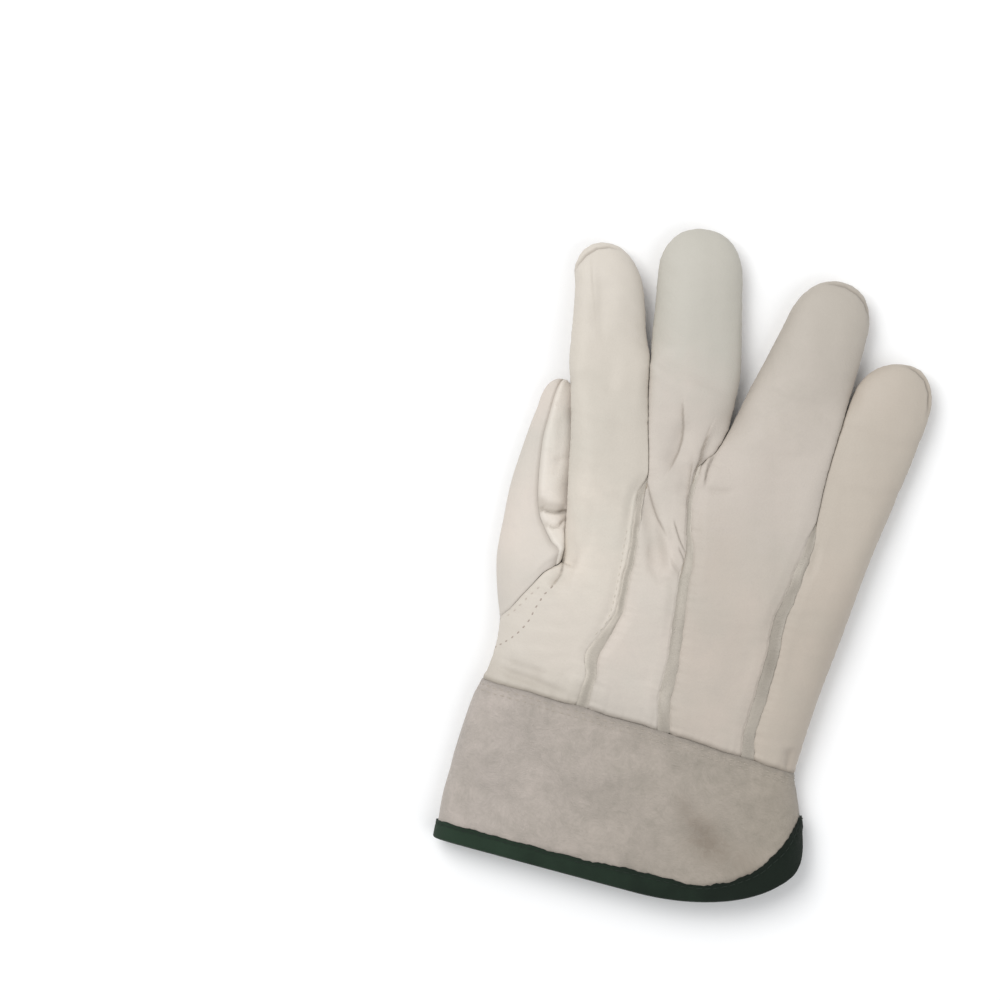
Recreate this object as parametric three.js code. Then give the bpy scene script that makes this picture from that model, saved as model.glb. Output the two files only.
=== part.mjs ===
// A right-hand leather work glove with a safety cuff, lying palm down.
// Millimetres. +Y runs to the fingertips, +X to the little finger, +Z out of the back of the hand.
// The tables are measured from a point on the back of the hand; the last lines centre the glove.
import * as THREE from 'three';

// Where the middle of the glove's plan lies in the tables' coordinates
const PLAN_CENTRE = { x: -1.2, y: 3.7 };

// Materials' thickness, and the gap that sewn pieces keep
const LEATHER = 1.4;
const SPLIT_LEATHER = 1.6;
const TAPE = 0.9;
const GAP = 0.3;

// How far below the crotch of two fingers the hand turns into fingers
const WEB = 14;
// How deep the back seams lie in the back of the hand, and how far from the seam that starts
const SEAM_DEPTH = 2.4;
const SEAM_REACH = 7;
// A fingertip's outline is a superellipse of this power
const TIP_POWER = 2.3;
// A fold fades out over this share of its length at each end
const FOLD_END = 0.3;

// A smooth curve through points [at, value], with no overshoot between them
function smoothThrough(points) {
  const at = points.map((point) => point[0]);
  const value = points.map((point) => point[1]);
  const last = at.length - 1;
  const rate = [];
  for (let i = 0; i < last; i++) {
    rate.push((value[i + 1] - value[i]) / (at[i + 1] - at[i]));
  }
  const slope = value.map((_, i) => {
    if (i === 0) return rate[0];
    if (i === last) return rate[last - 1];
    if (rate[i - 1] * rate[i] <= 0) return 0;
    return (2 * rate[i - 1] * rate[i]) / (rate[i - 1] + rate[i]);
  });
  return (x) => {
    if (x <= at[0]) return value[0] + slope[0] * (x - at[0]);
    if (x >= at[last]) return value[last] + slope[last] * (x - at[last]);
    let i = 0;
    while (x > at[i + 1]) i++;
    const width = at[i + 1] - at[i];
    const t = (x - at[i]) / width;
    const bend = value[i] + width * t * (1 - t) * ((1 - t) * (slope[i] - rate[i]));
    const back = width * t * (1 - t) * (t * (rate[i] - slope[i + 1]));
    return bend + (value[i + 1] - value[i]) * t + back;
  };
}

// A table: the first column says where, and every other column becomes a smooth function of it
function table(columns, rows) {
  const functions = {};
  columns.split(' ').slice(1).forEach((name, k) => {
    functions[name] = smoothThrough(rows.map((row) => [row[0], row[k + 1]]));
  });
  return functions;
}

const mix = (a, b, t) => a + (b - a) * t;
const clamp01 = (t) => Math.min(1, Math.max(0, t));
const smooth = (t) => clamp01(t) ** 2 * (3 - 2 * clamp01(t));
// Rises from 0 to 1 as a quarter circle does, upright at the start and level at the end
const round = (t) => Math.sqrt(1 - (1 - clamp01(t)) ** 2);

// The seams of the back, from the wrist up to where the two fingers part
const SEAM = {
  index: table('y x halfWidth', [
    [-62, -28, 2.1], [-50, -27.5, 2.1], [-41, -30, 2.1], [-33, -27, 1.5], [-20, -24, 1.2],
    [-5, -24.5, 1.2], [12, -26, 1.1], [25, -27.2, 0.8], [33, -26.8, 0.6], [42, -28.6, 0.6],
    [51, -31.2, 0.6], [60, -33.5, 0.6], [70, -36, 0.6], [81, -38.2, 0.6],
  ]),
  middle: table('y x halfWidth', [
    [-63, 6, 2.0], [-50, 3.3, 2.0], [-30, 2, 1.8], [-15, -0.3, 1.5], [5, -2.5, 1.1],
    [18, -5.5, 0.8], [32, -8.3, 0.6], [42, -8, 0.6], [50, -3, 0.6], [60, 0, 0.6],
  ]),
  ring: table('y x halfWidth', [
    [-65, 41.5, 2.3], [-50, 39.4, 2.3], [-28, 40.2, 2.3], [-12, 39.4, 2.2], [10, 41.2, 1.6],
    [20, 42.2, 1.2], [32, 43, 0.6], [50, 42.4, 0.6], [70, 43, 0.6], [81, 43.6, 0.6],
  ]),
};

// Above this the fingers at each side of a seam part, and below `crotch` they are one hand
const PARTING = {
  index: { crotch: 33, apart: 81 },
  middle: { crotch: 42, apart: 60 },
  ring: { crotch: 33, apart: 81 },
};

// The free edges of the four strips seen from above
const EDGE = {
  indexLeft: table('y x', [
    [-61.3, -69.6], [-56, -68.5], [-48, -68], [-40, -68.5], [-36.5, -69], [-31, -66], [-25, -63],
    [-19.5, -60], [-14, -57], [-8, -51.6], [0, -52.3], [6, -53.4], [13, -54.7], [20, -56.3],
    [30, -58.5], [40, -60.5], [50, -63], [62, -66.4], [70, -69], [80, -70.8], [90, -72.5],
    [100, -74.5], [107, -76.6], [120, -77.5],
  ]),
  indexRight: table('y x', [[81, -38.2], [90, -42], [98, -44.5], [105, -47], [120, -53]]),
  middleLeft: table('y x', [
    [81, -38.2], [90, -40], [100, -41.5], [112, -43.6], [120, -44.6], [135.5, -44.8],
  ]),
  middleRight: table('y x', [
    [60, 0], [70, 0], [80, -0.6], [88, -2], [100, -5], [108, -7], [118, -9.4], [135.5, -12],
  ]),
  ringLeft: table('y x', [
    [60, 0], [70, 2], [80, 4], [88, 6], [97, 8], [108, 10.4], [129, 14],
  ]),
  ringRight: table('y x', [[81, 43.6], [90, 44], [106, 44.2], [129, 44]]),
  littleLeft: table('y x', [[81, 43.6], [88, 44.4], [103.7, 46.5]]),
  littleRight: table('y x', [
    [-66, 61], [-55, 61.2], [-40, 62], [-10, 65], [22, 68], [50, 72], [72, 75], [83, 76.1],
    [90, 76.3], [103.7, 75.5],
  ]),
};

// Beside the thumb hole, the side edge that the hand's cross-section keeps, outside the hole's edge
const HAND_LEFT = table('y x', [
  [-36.5, -69], [-31, -69.3], [-25, -68], [-19.5, -66], [-14, -61.5], [-8, -51.6],
]);
const THUMB_HOLE = { low: -36.5, high: -8 };

// Height of the side seams above the table, along the hand and all fingers
const SIDE_SEAM = table('y height', [
  [-66, 8], [-50, 8.4], [-25, 8.6], [0, 8.6], [20, 8.4], [42, 8.2], [75, 7.9], [135, 7.3],
]);

// The hand's cross-section: how far in its edges are round, and how much the middle of the back
// rises above that
const HAND = table('y reach crown', [
  [-66, 13, 3.5], [-50, 13, 5], [-25, 13, 6.5], [0, 12, 6.5], [20, 11, 5.5], [42, 10, 4.5],
]);

// The wrist seam seen from above
const WRIST = table('x y', [[-69.6, -61.4], [-28, -62.1], [0, -62.8], [38, -64.8], [61, -66]]);

// Each finger: its seams with its neighbours, its free edges, its tip and its heights
const FINGERS = {
  index: {
    rightSeam: 'index',
    left: EDGE.indexLeft.x,
    right: EDGE.indexRight.x,
    tip: { x: -64.5, y: 120, from: 105 },
    height: table('y back belly', [
      [18, 21, 0], [33, 20, 0], [60, 18, 0.3], [90, 16.5, 0.6], [105, 15.5, 0.8], [120, 14, 1.2],
    ]),
  },
  middle: {
    leftSeam: 'index',
    rightSeam: 'middle',
    left: EDGE.middleLeft.x,
    right: EDGE.middleRight.x,
    tip: { x: -27, y: 135.5, from: 116 },
    height: table('y back belly', [
      [18, 21.5, 0], [42, 20, 0], [75, 18, 0.2], [105, 16.5, 0.6], [135.5, 14, 1.4],
    ]),
  },
  ring: {
    leftSeam: 'middle',
    rightSeam: 'ring',
    left: EDGE.ringLeft.x,
    right: EDGE.ringRight.x,
    tip: { x: 29, y: 129, from: 110 },
    height: table('y back belly', [
      [18, 21, 0], [42, 20, 0], [75, 18.5, 0.2], [105, 17, 0.5], [129, 14.5, 1.2],
    ]),
  },
  little: {
    leftSeam: 'ring',
    left: EDGE.littleLeft.x,
    right: EDGE.littleRight.x,
    tip: { x: 64, y: 103.7, from: 86 },
    height: table('y back belly', [
      [18, 18.5, 0], [33, 17.5, 0], [60, 16, 0.3], [85, 14.5, 0.6], [103.7, 13, 1],
    ]),
  },
};

// How much the thumb under it lifts the left edge of the index finger
const INDEX_TILT = table('y lift', [
  [-20, 0], [-8, 0], [0, 2.5], [8, 5], [14, 6.6], [20, 7.6], [46, 7.6], [60, 6.4], [75, 4], [95, 1.5],
  [120, 0],
]);

// Folds pressed into the back: ends of each fold in plan, its half width and its depth
const FOLD_COLUMNS = ['strip', 'x0', 'y0', 'x1', 'y1', 'halfWidth', 'depth'];
const FOLDS = [
  ['middle', -26, 31, -12, -5, 4.0, 1.8],
  ['middle', -20, 19, -4, -4, 4.5, -1.2],
  ['middle', -18, 60, -19, 38, 3.5, 1.2],
  ['middle', -12.5, 44, -12, 28, 3.0, 1.2],
  ['index', -50, -8, -52, -20, 3.5, 1.2],
  ['index', -63, 108, -61, 82, 4.0, 0.8],
  ['index', -66, 64, -46, 66, 6.0, 0.7],
  ['middle', -38, 78, -2, 76, 6.0, 0.6],
  ['ring', 4, 77, 42, 76, 6.0, 0.6],
  ['index', -64, -57, -44, -56, 4.0, 0.8],
].map((row) => Object.fromEntries(FOLD_COLUMNS.map((name, k) => [name, row[k]])));

// The thumb's sections, from the hole in the hand (0) to the start of its tip (1): its outer and
// inner edge in plan, its heights, and where across it the seam on its top runs
const THUMB = table('t leftX leftY rightX rightY back belly side seam', [
  [0.00, -69.0, -36.5, -51.6, -8, 17, 0.3, 8.4, 0.93],
  [0.10, -71.5, -30, -52.5, -2, 16.5, 0.3, 7.8, 0.88],
  [0.20, -74.8, -19, -53.2, 3, 16, 0.3, 7.2, 0.79],
  [0.32, -77.0, -10, -54.0, 8, 15, 0.3, 6.8, 0.63],
  [0.44, -78.3, 0, -54.4, 14, 14, 0.3, 6.4, 0.55],
  [0.56, -78.8, 12, -54.6, 20, 13.2, 0.3, 6.2, 0.475],
  [0.70, -78.5, 26, -55.4, 30, 12.8, 0.4, 6, 0.38],
  [0.85, -77.7, 40, -57.6, 40, 12.4, 0.5, 5.9, 0.32],
  [1.00, -76.6, 50, -60.6, 50, 12, 0.7, 5.8, 0.34],
]);
const THUMB_TIP = { x: -69, y: 62.7 };
// By this section the thumb has lost the shape of the hole it starts from
const THUMB_SETTLED = 0.4;
// How far the thumb's root stays clear of the hand, and half the gap in its top seam in radians
const THUMB_ROOT_SHIFT = { x: -1.3 * GAP, y: 0.8 * GAP };
const THUMB_SEAM_TURN = 0.03;

// The cuff's cross-section along the arm; `right` is the side as if it weren't slit
const CUFF = table('y left right side reach crown', [
  [-128, -71.2, 78, 6.6, 9, 2.6], [-120, -71.8, 77.4, 6.7, 9.3, 2.8], [-108, -72.9, 75.4, 6.9, 9.8, 3.2],
  [-95, -73, 71.8, 7.1, 10.5, 3.5], [-88, -72.7, 69.5, 7.3, 11, 3.6], [-80, -72.2, 66.6, 7.5, 12, 3.6],
  [-72, -71.5, 63.1, 7.8, 12.5, 3.5], [-66, -70.6, 61, 8, 13, 3.5], [-61, -69.6, 60.2, 8, 13, 3.5],
]);
// The slit at the little-finger side, and the rounded corner of each flap from there to the hem,
// measured round the cuff from the side and along the arm
const HEM = { y: -127, slitTop: -86, slitHalf: 3, cornerAround: 67, cornerAlong: 37 };
// How the hem is cut into columns: over the corner, crowded towards its end by the power, and then
// at these shares of the straight run to the thumb side
const CORNER_COLUMNS = 11;
const CORNER_CROWDING = 0.8;
const HEM_SHARES = [0.22, 0.44, 0.66, 0.85, 0.95, 1];
// How hard each column is pulled straight out of the wrist seam and square into the hem
const COLUMN_PULL = 0.8;
const BINDING_WIDTH = 7.5;
// How far the folded tape stands off the leather
const TAPE_EASE = 0.45;
// The bound hem stands this far above the palm's plane, so the tape lies on the table. The lift
// starts at a share of the way to the hem, takes another share, and is nothing at a height.
const HEM_LIFT = { rise: 1.5, from: 0.6, over: 0.25, noneAt: 20 };

// Mesh density: rows along the hand and fingers, and columns across them
const HAND_ROWS = [-54, -45, THUMB_HOLE.low, -28, -18, -8, 2, 11, 19, 25, 29.5, 32, 33, 37, 40.5, 42];
const FINGER_ROWS = [51, 60, 68, 76, 81];
const BACK_COLUMNS = 8;
const WRIST_ROW = -62;
const PALM_COLUMNS = 6;
const TIP_ROWS = 5;
const THUMB_ROWS = 12;
const THUMB_OUTER_COLUMNS = 10;
const THUMB_INNER_COLUMNS = 6;
const CUFF_ROWS = 5;
// The steps over which slopes are measured: along a patch, and round the cuff as a share
const STEP = 0.05;
const SHARE_STEP = 0.0005;

const COLOUR = { cream: 0xd3cabf, seam: 0xb3aaa0, split: 0xb0a89f, green: 0x283a2d };

// How far the seam strip and its gap hold two neighbouring strips of the back apart
function seamClearance(seam, y) {
  const { crotch } = PARTING[seam];
  const held = SEAM[seam].halfWidth(y) + GAP;
  return mix(held, GAP / 2, smooth((y - (crotch - WEB / 2)) / (WEB / 2)));
}

// How much of a section at y is finger and not hand, at the edge along the given seam. Seen from
// the side the web between two fingers is a half round.
function fingerShare(seam, y) {
  return 1 - round((PARTING[seam].crotch - y) / WEB);
}

// The same in the middle of a strip, where the hand turns into a finger more gently
function middleShare(seam, y) {
  return smooth((y - PARTING[seam].crotch + 2 * WEB) / (3 * WEB));
}

// A finger's plan edges at y, with its rounded tip, keeping `clear` from each seam
function planEdges(finger, y, clear) {
  const { tip, leftSeam, rightSeam } = finger;
  const onLeftSeam = leftSeam && y <= PARTING[leftSeam].apart;
  const onRightSeam = rightSeam && y <= PARTING[rightSeam].apart;
  let left = onLeftSeam ? SEAM[leftSeam].x(y) : finger.left(y);
  let right = onRightSeam ? SEAM[rightSeam].x(y) : finger.right(y);
  if (leftSeam) left += clear(leftSeam, y);
  if (rightSeam) right -= clear(rightSeam, y);
  const along = clamp01((y - tip.from) / (tip.y - tip.from));
  const narrowing = (1 - along ** TIP_POWER) ** (1 / TIP_POWER);
  return { left: mix(tip.x, left, narrowing), right: mix(tip.x, right, narrowing), narrowing };
}

// Height of the hand's back or palm side over a plan point, as if it had no seams
function handHeight(x, y, isBack) {
  const besideHole = y > THUMB_HOLE.low && y < THUMB_HOLE.high;
  const left = besideHole ? HAND_LEFT.x(y) : EDGE.indexLeft.x(y);
  const right = EDGE.littleRight.x(y);
  const inFromEdge = Math.max(0, Math.min(x - left, right - x));
  const rise = round(inFromEdge / HAND.reach(y));
  const side = SIDE_SEAM.height(y);
  if (!isBack) return side - side * rise;
  const across = clamp01(Math.abs((2 * x - left - right) / (right - left)));
  return side + side * rise + HAND.crown(y) * (1 - across ** 2);
}

// Depth of the folds of one strip at a plan point
function foldDepth(strip, x, y) {
  let depth = 0;
  for (const fold of FOLDS) {
    if (fold.strip !== strip) continue;
    const run = { x: fold.x1 - fold.x0, y: fold.y1 - fold.y0 };
    const length = Math.hypot(run.x, run.y);
    const along = ((x - fold.x0) * run.x + (y - fold.y0) * run.y) / length ** 2;
    const aside = ((x - fold.x0) * run.y - (y - fold.y0) * run.x) / length;
    const end = smooth(along / FOLD_END) * smooth((1 - along) / FOLD_END);
    depth += fold.depth * end * Math.exp(-((aside / fold.halfWidth) ** 2));
  }
  return depth;
}

// A point of a strip's back or palm side: `across` runs from its left edge (0) to its right (1)
function stripPoint(name, y, across, isBack, clear) {
  const finger = FINGERS[name];
  const edges = planEdges(finger, y, clear);
  const x = mix(edges.left, edges.right, across);

  const leftSeam = finger.leftSeam ?? finger.rightSeam;
  const rightSeam = finger.rightSeam ?? finger.leftSeam;
  const edgeShare = mix(fingerShare(leftSeam, y), fingerShare(rightSeam, y), across);
  const midShare = mix(middleShare(leftSeam, y), middleShare(rightSeam, y), across);
  const fingerness = mix(midShare, edgeShare, Math.abs(2 * across - 1) ** 2);

  const side = SIDE_SEAM.height(y);
  const level = isBack ? finger.height.back(y) : finger.height.belly(y);
  const fingerZ = side + (level - side) * edges.narrowing * round(2 * Math.min(across, 1 - across));

  let handZ = handHeight(x, y, isBack);
  if (isBack) {
    for (const seam of [finger.leftSeam, finger.rightSeam]) {
      if (!seam) continue;
      const away = clamp01(Math.abs(x - SEAM[seam].x(y)) / SEAM_REACH);
      handZ -= SEAM_DEPTH * (1 - away) ** 2;
    }
  }

  let z = mix(handZ, fingerZ, fingerness);
  if (name === 'index') z += INDEX_TILT.lift(y) * (1 - across);
  if (isBack) z -= foldDepth(name, x, y) * round(3 * Math.min(across, 1 - across));
  const atSideSeam = across === 0 || across === 1;
  const sewn = atSideSeam && (fingerness > 0.999 || isFreeEdge(finger, across));
  if (sewn) z += isBack ? GAP / 2 : -GAP / 2;
  return new THREE.Vector3(x, y + wristShift(x, y), z);
}

// The rows next to the wrist lean with the wrist seam
function wristShift(x, y) {
  const fade = clamp01((THUMB_HOLE.low - y) / (THUMB_HOLE.low - WRIST_ROW));
  return (WRIST.y(x) - WRIST_ROW) * fade;
}

// An edge of a strip that no neighbouring strip touches
function isFreeEdge(finger, across) {
  return across === 0 ? !finger.leftSeam : !finger.rightSeam;
}

// A patch: a grid of surface points with the outward direction at each, in rows
function gridPatch(rows, columns, pointAt, directionAt) {
  const points = rows.map((row) => columns.map((column) => pointAt(row, column)));
  const directions = rows.map((row) => columns.map((column) => directionAt(row, column)));
  return { points, directions };
}

// The outward direction of a surface from its slopes along its two coordinates
function slopeDirection(pointAt, u, v, range) {
  const u0 = Math.max(range.u[0], u - STEP * range.uScale);
  const u1 = Math.min(range.u[1], u + STEP * range.uScale);
  const v0 = Math.max(range.v[0], v - STEP * range.vScale);
  const v1 = Math.min(range.v[1], v + STEP * range.vScale);
  const alongU = pointAt(u1, v).sub(pointAt(u0, v));
  const alongV = pointAt(u, v1).sub(pointAt(u, v0));
  return alongV.cross(alongU).normalize();
}

// Turns patches of a surface into one closed body: the surface, the same surface a wall further
// in, and a rim along every edge that belongs to one patch only
function solidFromPatches(patches, wall, flip = false) {
  const positions = [];
  const directions = [];
  const found = new Map();
  const vertex = (point, direction) => {
    const key = point.toArray().map((value) => Math.round(value * 1e4)).join(' ');
    if (!found.has(key)) {
      found.set(key, positions.length);
      positions.push(point);
      directions.push(new THREE.Vector3());
    }
    const index = found.get(key);
    directions[index].add(direction);
    return index;
  };
  const faces = [];
  const addFace = (a, b, c) => {
    if (a !== b && b !== c && c !== a) faces.push(flip ? [a, c, b] : [a, b, c]);
  };
  for (const { points, directions: outward } of patches) {
    const grid = points.map((row, i) => row.map((point, j) => vertex(point, outward[i][j])));
    for (let i = 0; i + 1 < grid.length; i++) {
      for (let j = 0; j + 1 < grid[i].length; j++) {
        addFace(grid[i][j], grid[i][j + 1], grid[i + 1][j + 1]);
        addFace(grid[i][j], grid[i + 1][j + 1], grid[i + 1][j]);
      }
    }
  }
  const count = positions.length;
  const inner = positions.map((point, i) => {
    return point.clone().addScaledVector(directions[i].normalize(), -wall);
  });
  const edges = new Set(faces.flatMap(([a, b, c]) => [`${a} ${b}`, `${b} ${c}`, `${c} ${a}`]));
  const all = faces.concat(faces.map(([a, b, c]) => [a + count, c + count, b + count]));
  for (const edge of edges) {
    const [a, b] = edge.split(' ').map(Number);
    if (edges.has(`${b} ${a}`)) continue;
    all.push([b, a, a + count], [b, a + count, b + count]);
  }
  return meshGeometry(positions.concat(inner), all);
}

function meshGeometry(points, faces) {
  const geometry = new THREE.BufferGeometry();
  const flat = points.flatMap((point) => [point.x, point.y, point.z]);
  geometry.setAttribute('position', new THREE.Float32BufferAttribute(flat, 3));
  geometry.setIndex(faces.flat());
  geometry.computeVertexNormals();
  return geometry;
}

// Columns that crowd towards both edges, as points spaced evenly round a half circle do
function crowdedColumns(count) {
  const columns = [];
  for (let j = 0; j <= count; j++) columns.push((1 - Math.cos((Math.PI * j) / count)) / 2);
  return columns;
}

// The rows of one strip, from the wrist to the fingertip
function stripRows(tip) {
  const rows = [WRIST_ROW, ...HAND_ROWS, ...FINGER_ROWS];
  const start = FINGER_ROWS[FINGER_ROWS.length - 1];
  const steps = Math.ceil((tip.from - start) / 10);
  for (let i = 1; i <= steps; i++) rows.push(mix(start, tip.from, i / steps));
  for (let i = 1; i <= TIP_ROWS; i++) {
    rows.push(mix(tip.from, tip.y, Math.sin((Math.PI * i) / (2 * TIP_ROWS))));
  }
  return rows;
}

// This near a strip's edge its surface is still the one inside the edge
const ASIDE = 0.0001;

function stripPatch(name, isBack, clear) {
  const finger = FINGERS[name];
  const { tip } = finger;
  const pointAt = (y, across) => stripPoint(name, y, across, isBack, clear);
  const inside = (y, across) => pointAt(y, Math.min(1 - ASIDE, Math.max(ASIDE, across)));
  const range = { u: [WRIST_ROW, tip.y], v: [0, 1], uScale: 4, vScale: 0.2 };
  const directionAt = (y, across) => {
    if (y >= tip.y) return new THREE.Vector3(0, 1, 0);
    const direction = slopeDirection(inside, y, across, range);
    if (!isBack) direction.negate();
    const seam = across === 0 ? finger.leftSeam : finger.rightSeam;
    if (across === 0 || across === 1) {
      const upright = isFreeEdge(finger, across) && !(across === 0 && inThumbHole(name, y));
      direction.z *= upright ? 0 : 1 - (seam ? fingerShare(seam, y) : 0);
      const outwards = across === 0 ? -1 : 1;
      if (seam && direction.x * outwards < 0) direction.x = 0;
      direction.normalize();
    }
    return direction;
  };
  const columns = crowdedColumns(isBack ? BACK_COLUMNS : PALM_COLUMNS);
  return gridPatch(stripRows(tip), columns, pointAt, directionAt);
}

function inThumbHole(name, y) {
  return name === 'index' && y > THUMB_HOLE.low + 1 && y < THUMB_HOLE.high - 1;
}

function backStrip(name) {
  return solidFromPatches([stripPatch(name, true, seamClearance)], LEATHER);
}

function palmPiece() {
  const clear = (seam, y) => (y > PARTING[seam].crotch ? GAP / 2 : 0);
  const patches = Object.keys(FINGERS).map((name) => stripPatch(name, false, clear));
  return solidFromPatches(patches, LEATHER, true);
}

// The thumb's surface: `t` from the hole (0) to the tip (2), `turn` round it in radians, from the
// outer edge (0) over the back to the inner edge (pi) and home below
function thumbPoint(t, turn) {
  const across = (1 - Math.cos(turn)) / 2;
  const isBack = Math.sin(turn) >= 0;
  const section = Math.min(1, t);
  const straightAt = (s) => new THREE.Vector3(
    mix(THUMB.leftX(s), THUMB.rightX(s), across), mix(THUMB.leftY(s), THUMB.rightY(s), across), 0);
  const point = straightAt(section);
  const side = THUMB.side(section);
  const level = isBack ? THUMB.back(section) : THUMB.belly(section);
  point.z = side + (level - side) * Math.abs(Math.sin(turn));
  const fromHole = 1 - smooth(t / THUMB_SETTLED);
  const holeY = mix(THUMB_HOLE.low, THUMB_HOLE.high, across);
  const holeX = EDGE.indexLeft.x(holeY);
  const straight = straightAt(0);
  point.x += (holeX - straight.x + THUMB_ROOT_SHIFT.x) * fromHole;
  point.y += (holeY - straight.y + THUMB_ROOT_SHIFT.y) * fromHole;
  point.z = mix(point.z, handHeight(holeX, holeY, isBack), fromHole);
  if (t > 1) {
    const narrowing = (1 - (t - 1) ** TIP_POWER) ** (1 / TIP_POWER);
    const middle = (THUMB.back(1) + THUMB.belly(1)) / 2;
    point.x = mix(THUMB_TIP.x, point.x, narrowing);
    point.z = mix(middle, point.z, narrowing);
    point.y = mix(THUMB.leftY(1), THUMB_TIP.y, t - 1);
  }
  return point;
}

function thumbHalf(isOuter) {
  const rows = [];
  for (let i = 0; i <= THUMB_ROWS; i++) rows.push(i / THUMB_ROWS);
  for (let i = 1; i <= TIP_ROWS; i++) rows.push(1 + Math.sin((Math.PI * i) / (2 * TIP_ROWS)));
  const count = isOuter ? THUMB_OUTER_COLUMNS : THUMB_INNER_COLUMNS;
  const columns = [];
  for (let j = 0; j <= count; j++) columns.push(j / count);
  const turnAt = (t, column) => {
    const seam = Math.acos(1 - 2 * THUMB.seam(Math.min(1, t)));
    if (isOuter) return mix(THUMB_SEAM_TURN - seam, seam - THUMB_SEAM_TURN, column);
    return mix(seam + THUMB_SEAM_TURN, 2 * Math.PI - seam - THUMB_SEAM_TURN, column);
  };
  const pointAt = (t, column) => thumbPoint(t, turnAt(t, column));
  const directionAt = (t, column) => {
    if (t >= 2) return new THREE.Vector3(0, 1, 0);
    const turn = turnAt(t, column);
    const range = { u: [0, 2], v: [-10, 10], uScale: 0.1, vScale: 0.4 };
    return slopeDirection(thumbPoint, t, turn, range);
  };
  return solidFromPatches([gridPatch(rows, columns, pointAt, directionAt)], LEATHER);
}

// A seam strip's section, as points across it in half widths and up from its middle in mm
const SEAM_SECTION = [[-1, -0.3], [0, 0.15], [1, -0.3], [0.8, -1.2], [-0.8, -1.2]];

// A narrow strip of leather lying in a seam of the back
function seamStrip(seam) {
  const { crotch } = PARTING[seam];
  const rows = [WRIST_ROW, ...HAND_ROWS.filter((y) => y < crotch - WEB / 2)];
  const size = SEAM_SECTION.length;
  const points = [];
  const faces = [];
  rows.forEach((y, i) => {
    const x = SEAM[seam].x(y);
    const z = handHeight(x, y, true) - SEAM_DEPTH;
    for (const [across, up] of SEAM_SECTION) {
      const aside = across * SEAM[seam].halfWidth(y);
      points.push(new THREE.Vector3(x + aside, y + wristShift(x, y), z + up));
    }
    if (i === 0) return;
    SEAM_SECTION.forEach((_, j) => {
      const next = (j + 1) % size;
      const [a, b] = [(i - 1) * size + j, (i - 1) * size + next];
      const [c, d] = [i * size + next, i * size + j];
      faces.push([a, b, c], [a, c, d]);
    });
  });
  const top = (rows.length - 1) * size;
  for (let j = 1; j + 1 < size; j++) {
    faces.push([0, j + 1, j], [top, top + j, top + j + 1]);
  }
  return meshGeometry(points, faces);
}

// A point of the cuff over the back or the palm side; `share` of the way round that half, from
// the little-finger side (0) to the thumb side (1)
function cuffPoint(share, y, isBack) {
  const { left, right, side, reach, crown } = CUFF;
  const total = cuffHalfRound(y);
  const quarter = (Math.PI / 4) * (reach(y) + side(y));
  const fromNearSide = Math.max(0, Math.min(share, 1 - share)) * total;
  const angle = Math.min(1, fromNearSide / quarter) * (Math.PI / 2);
  const inFromSide = reach(y) * (1 - Math.cos(angle)) + Math.max(0, fromNearSide - quarter);
  const x = share < 0.5 ? right(y) - inFromSide : left(y) + inFromSide;
  const across = clamp01(Math.abs((2 * x - left(y) - right(y)) / (right(y) - left(y))));
  const rise = side(y) * Math.sin(angle);
  const z = isBack ? side(y) + rise + crown(y) * (1 - across ** 2) : side(y) - rise;
  return new THREE.Vector3(x, y, z);
}

// Length round half the cuff at y
function cuffHalfRound(y) {
  const quarter = (Math.PI / 4) * (CUFF.reach(y) + CUFF.side(y));
  return CUFF.right(y) - CUFF.left(y) - 2 * CUFF.reach(y) + 2 * quarter;
}

// Where the hem's columns end, from the top of the slit round one flap to the thumb side
function hemStations() {
  const { y, slitTop, slitHalf, cornerAround, cornerAlong } = HEM;
  const stations = [];
  for (const angle of [0, Math.PI / 4, Math.PI / 2]) {
    const [sine, cosine] = [Math.sin(angle), Math.cos(angle)];
    const top = slitTop - slitHalf * (1 - cosine);
    stations.push({ around: slitHalf * sine, y: top, out: [-sine, -cosine] });
  }
  for (let i = 1; i <= CORNER_COLUMNS; i++) {
    const angle = (Math.PI / 2) * (i / CORNER_COLUMNS) ** CORNER_CROWDING;
    const across = slitHalf + cornerAround * (1 - Math.cos(angle));
    const along = y + cornerAlong * (1 - Math.sin(angle));
    const out = [-Math.cos(angle) / cornerAround, -Math.sin(angle) / cornerAlong];
    const size = Math.hypot(...out);
    stations.push({ around: across, y: along, out: out.map((value) => value / size) });
  }
  const total = cuffHalfRound(y);
  const start = slitHalf + cornerAround;
  for (const share of HEM_SHARES) {
    stations.push({ around: mix(start, total, share), y, out: [0, -1] });
  }
  return stations;
}

// One column of the cuff: it leaves the wrist seam straight and meets the hem square
function cuffColumn(station, wristShare) {
  const wristY = WRIST.y(cuffPoint(wristShare, WRIST_ROW, true).x) - GAP;
  const total = cuffHalfRound(station.y);
  const hemShare = station.around / total;
  const pull = COLUMN_PULL * (wristY - station.y);
  return (t) => {
    const blend = t * t * (3 - 2 * t);
    const leave = pull * t * (1 - t) ** 2;
    const arrive = pull * t * t * (1 - t);
    return {
      share: mix(wristShare, hemShare, blend) - (arrive * station.out[0]) / total,
      y: mix(wristY, station.y, blend) - leave - arrive * station.out[1],
    };
  };
}

// The cuff's columns in order round it: over the back from the slit to the thumb side, and home
function cuffColumns() {
  const stations = hemStations();
  let run = 0;
  const runs = stations.map((station, i) => {
    if (i > 0) {
      const before = stations[i - 1];
      run += Math.hypot(station.around - before.around, station.y - before.y);
    }
    return run;
  });
  const half = stations.map((station, i) => cuffColumn(station, runs[i] / run));
  const columns = half.map((path) => ({ path, isBack: true }));
  for (let i = half.length - 2; i > 0; i--) columns.push({ path: half[i], isBack: false });
  return columns;
}

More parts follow.
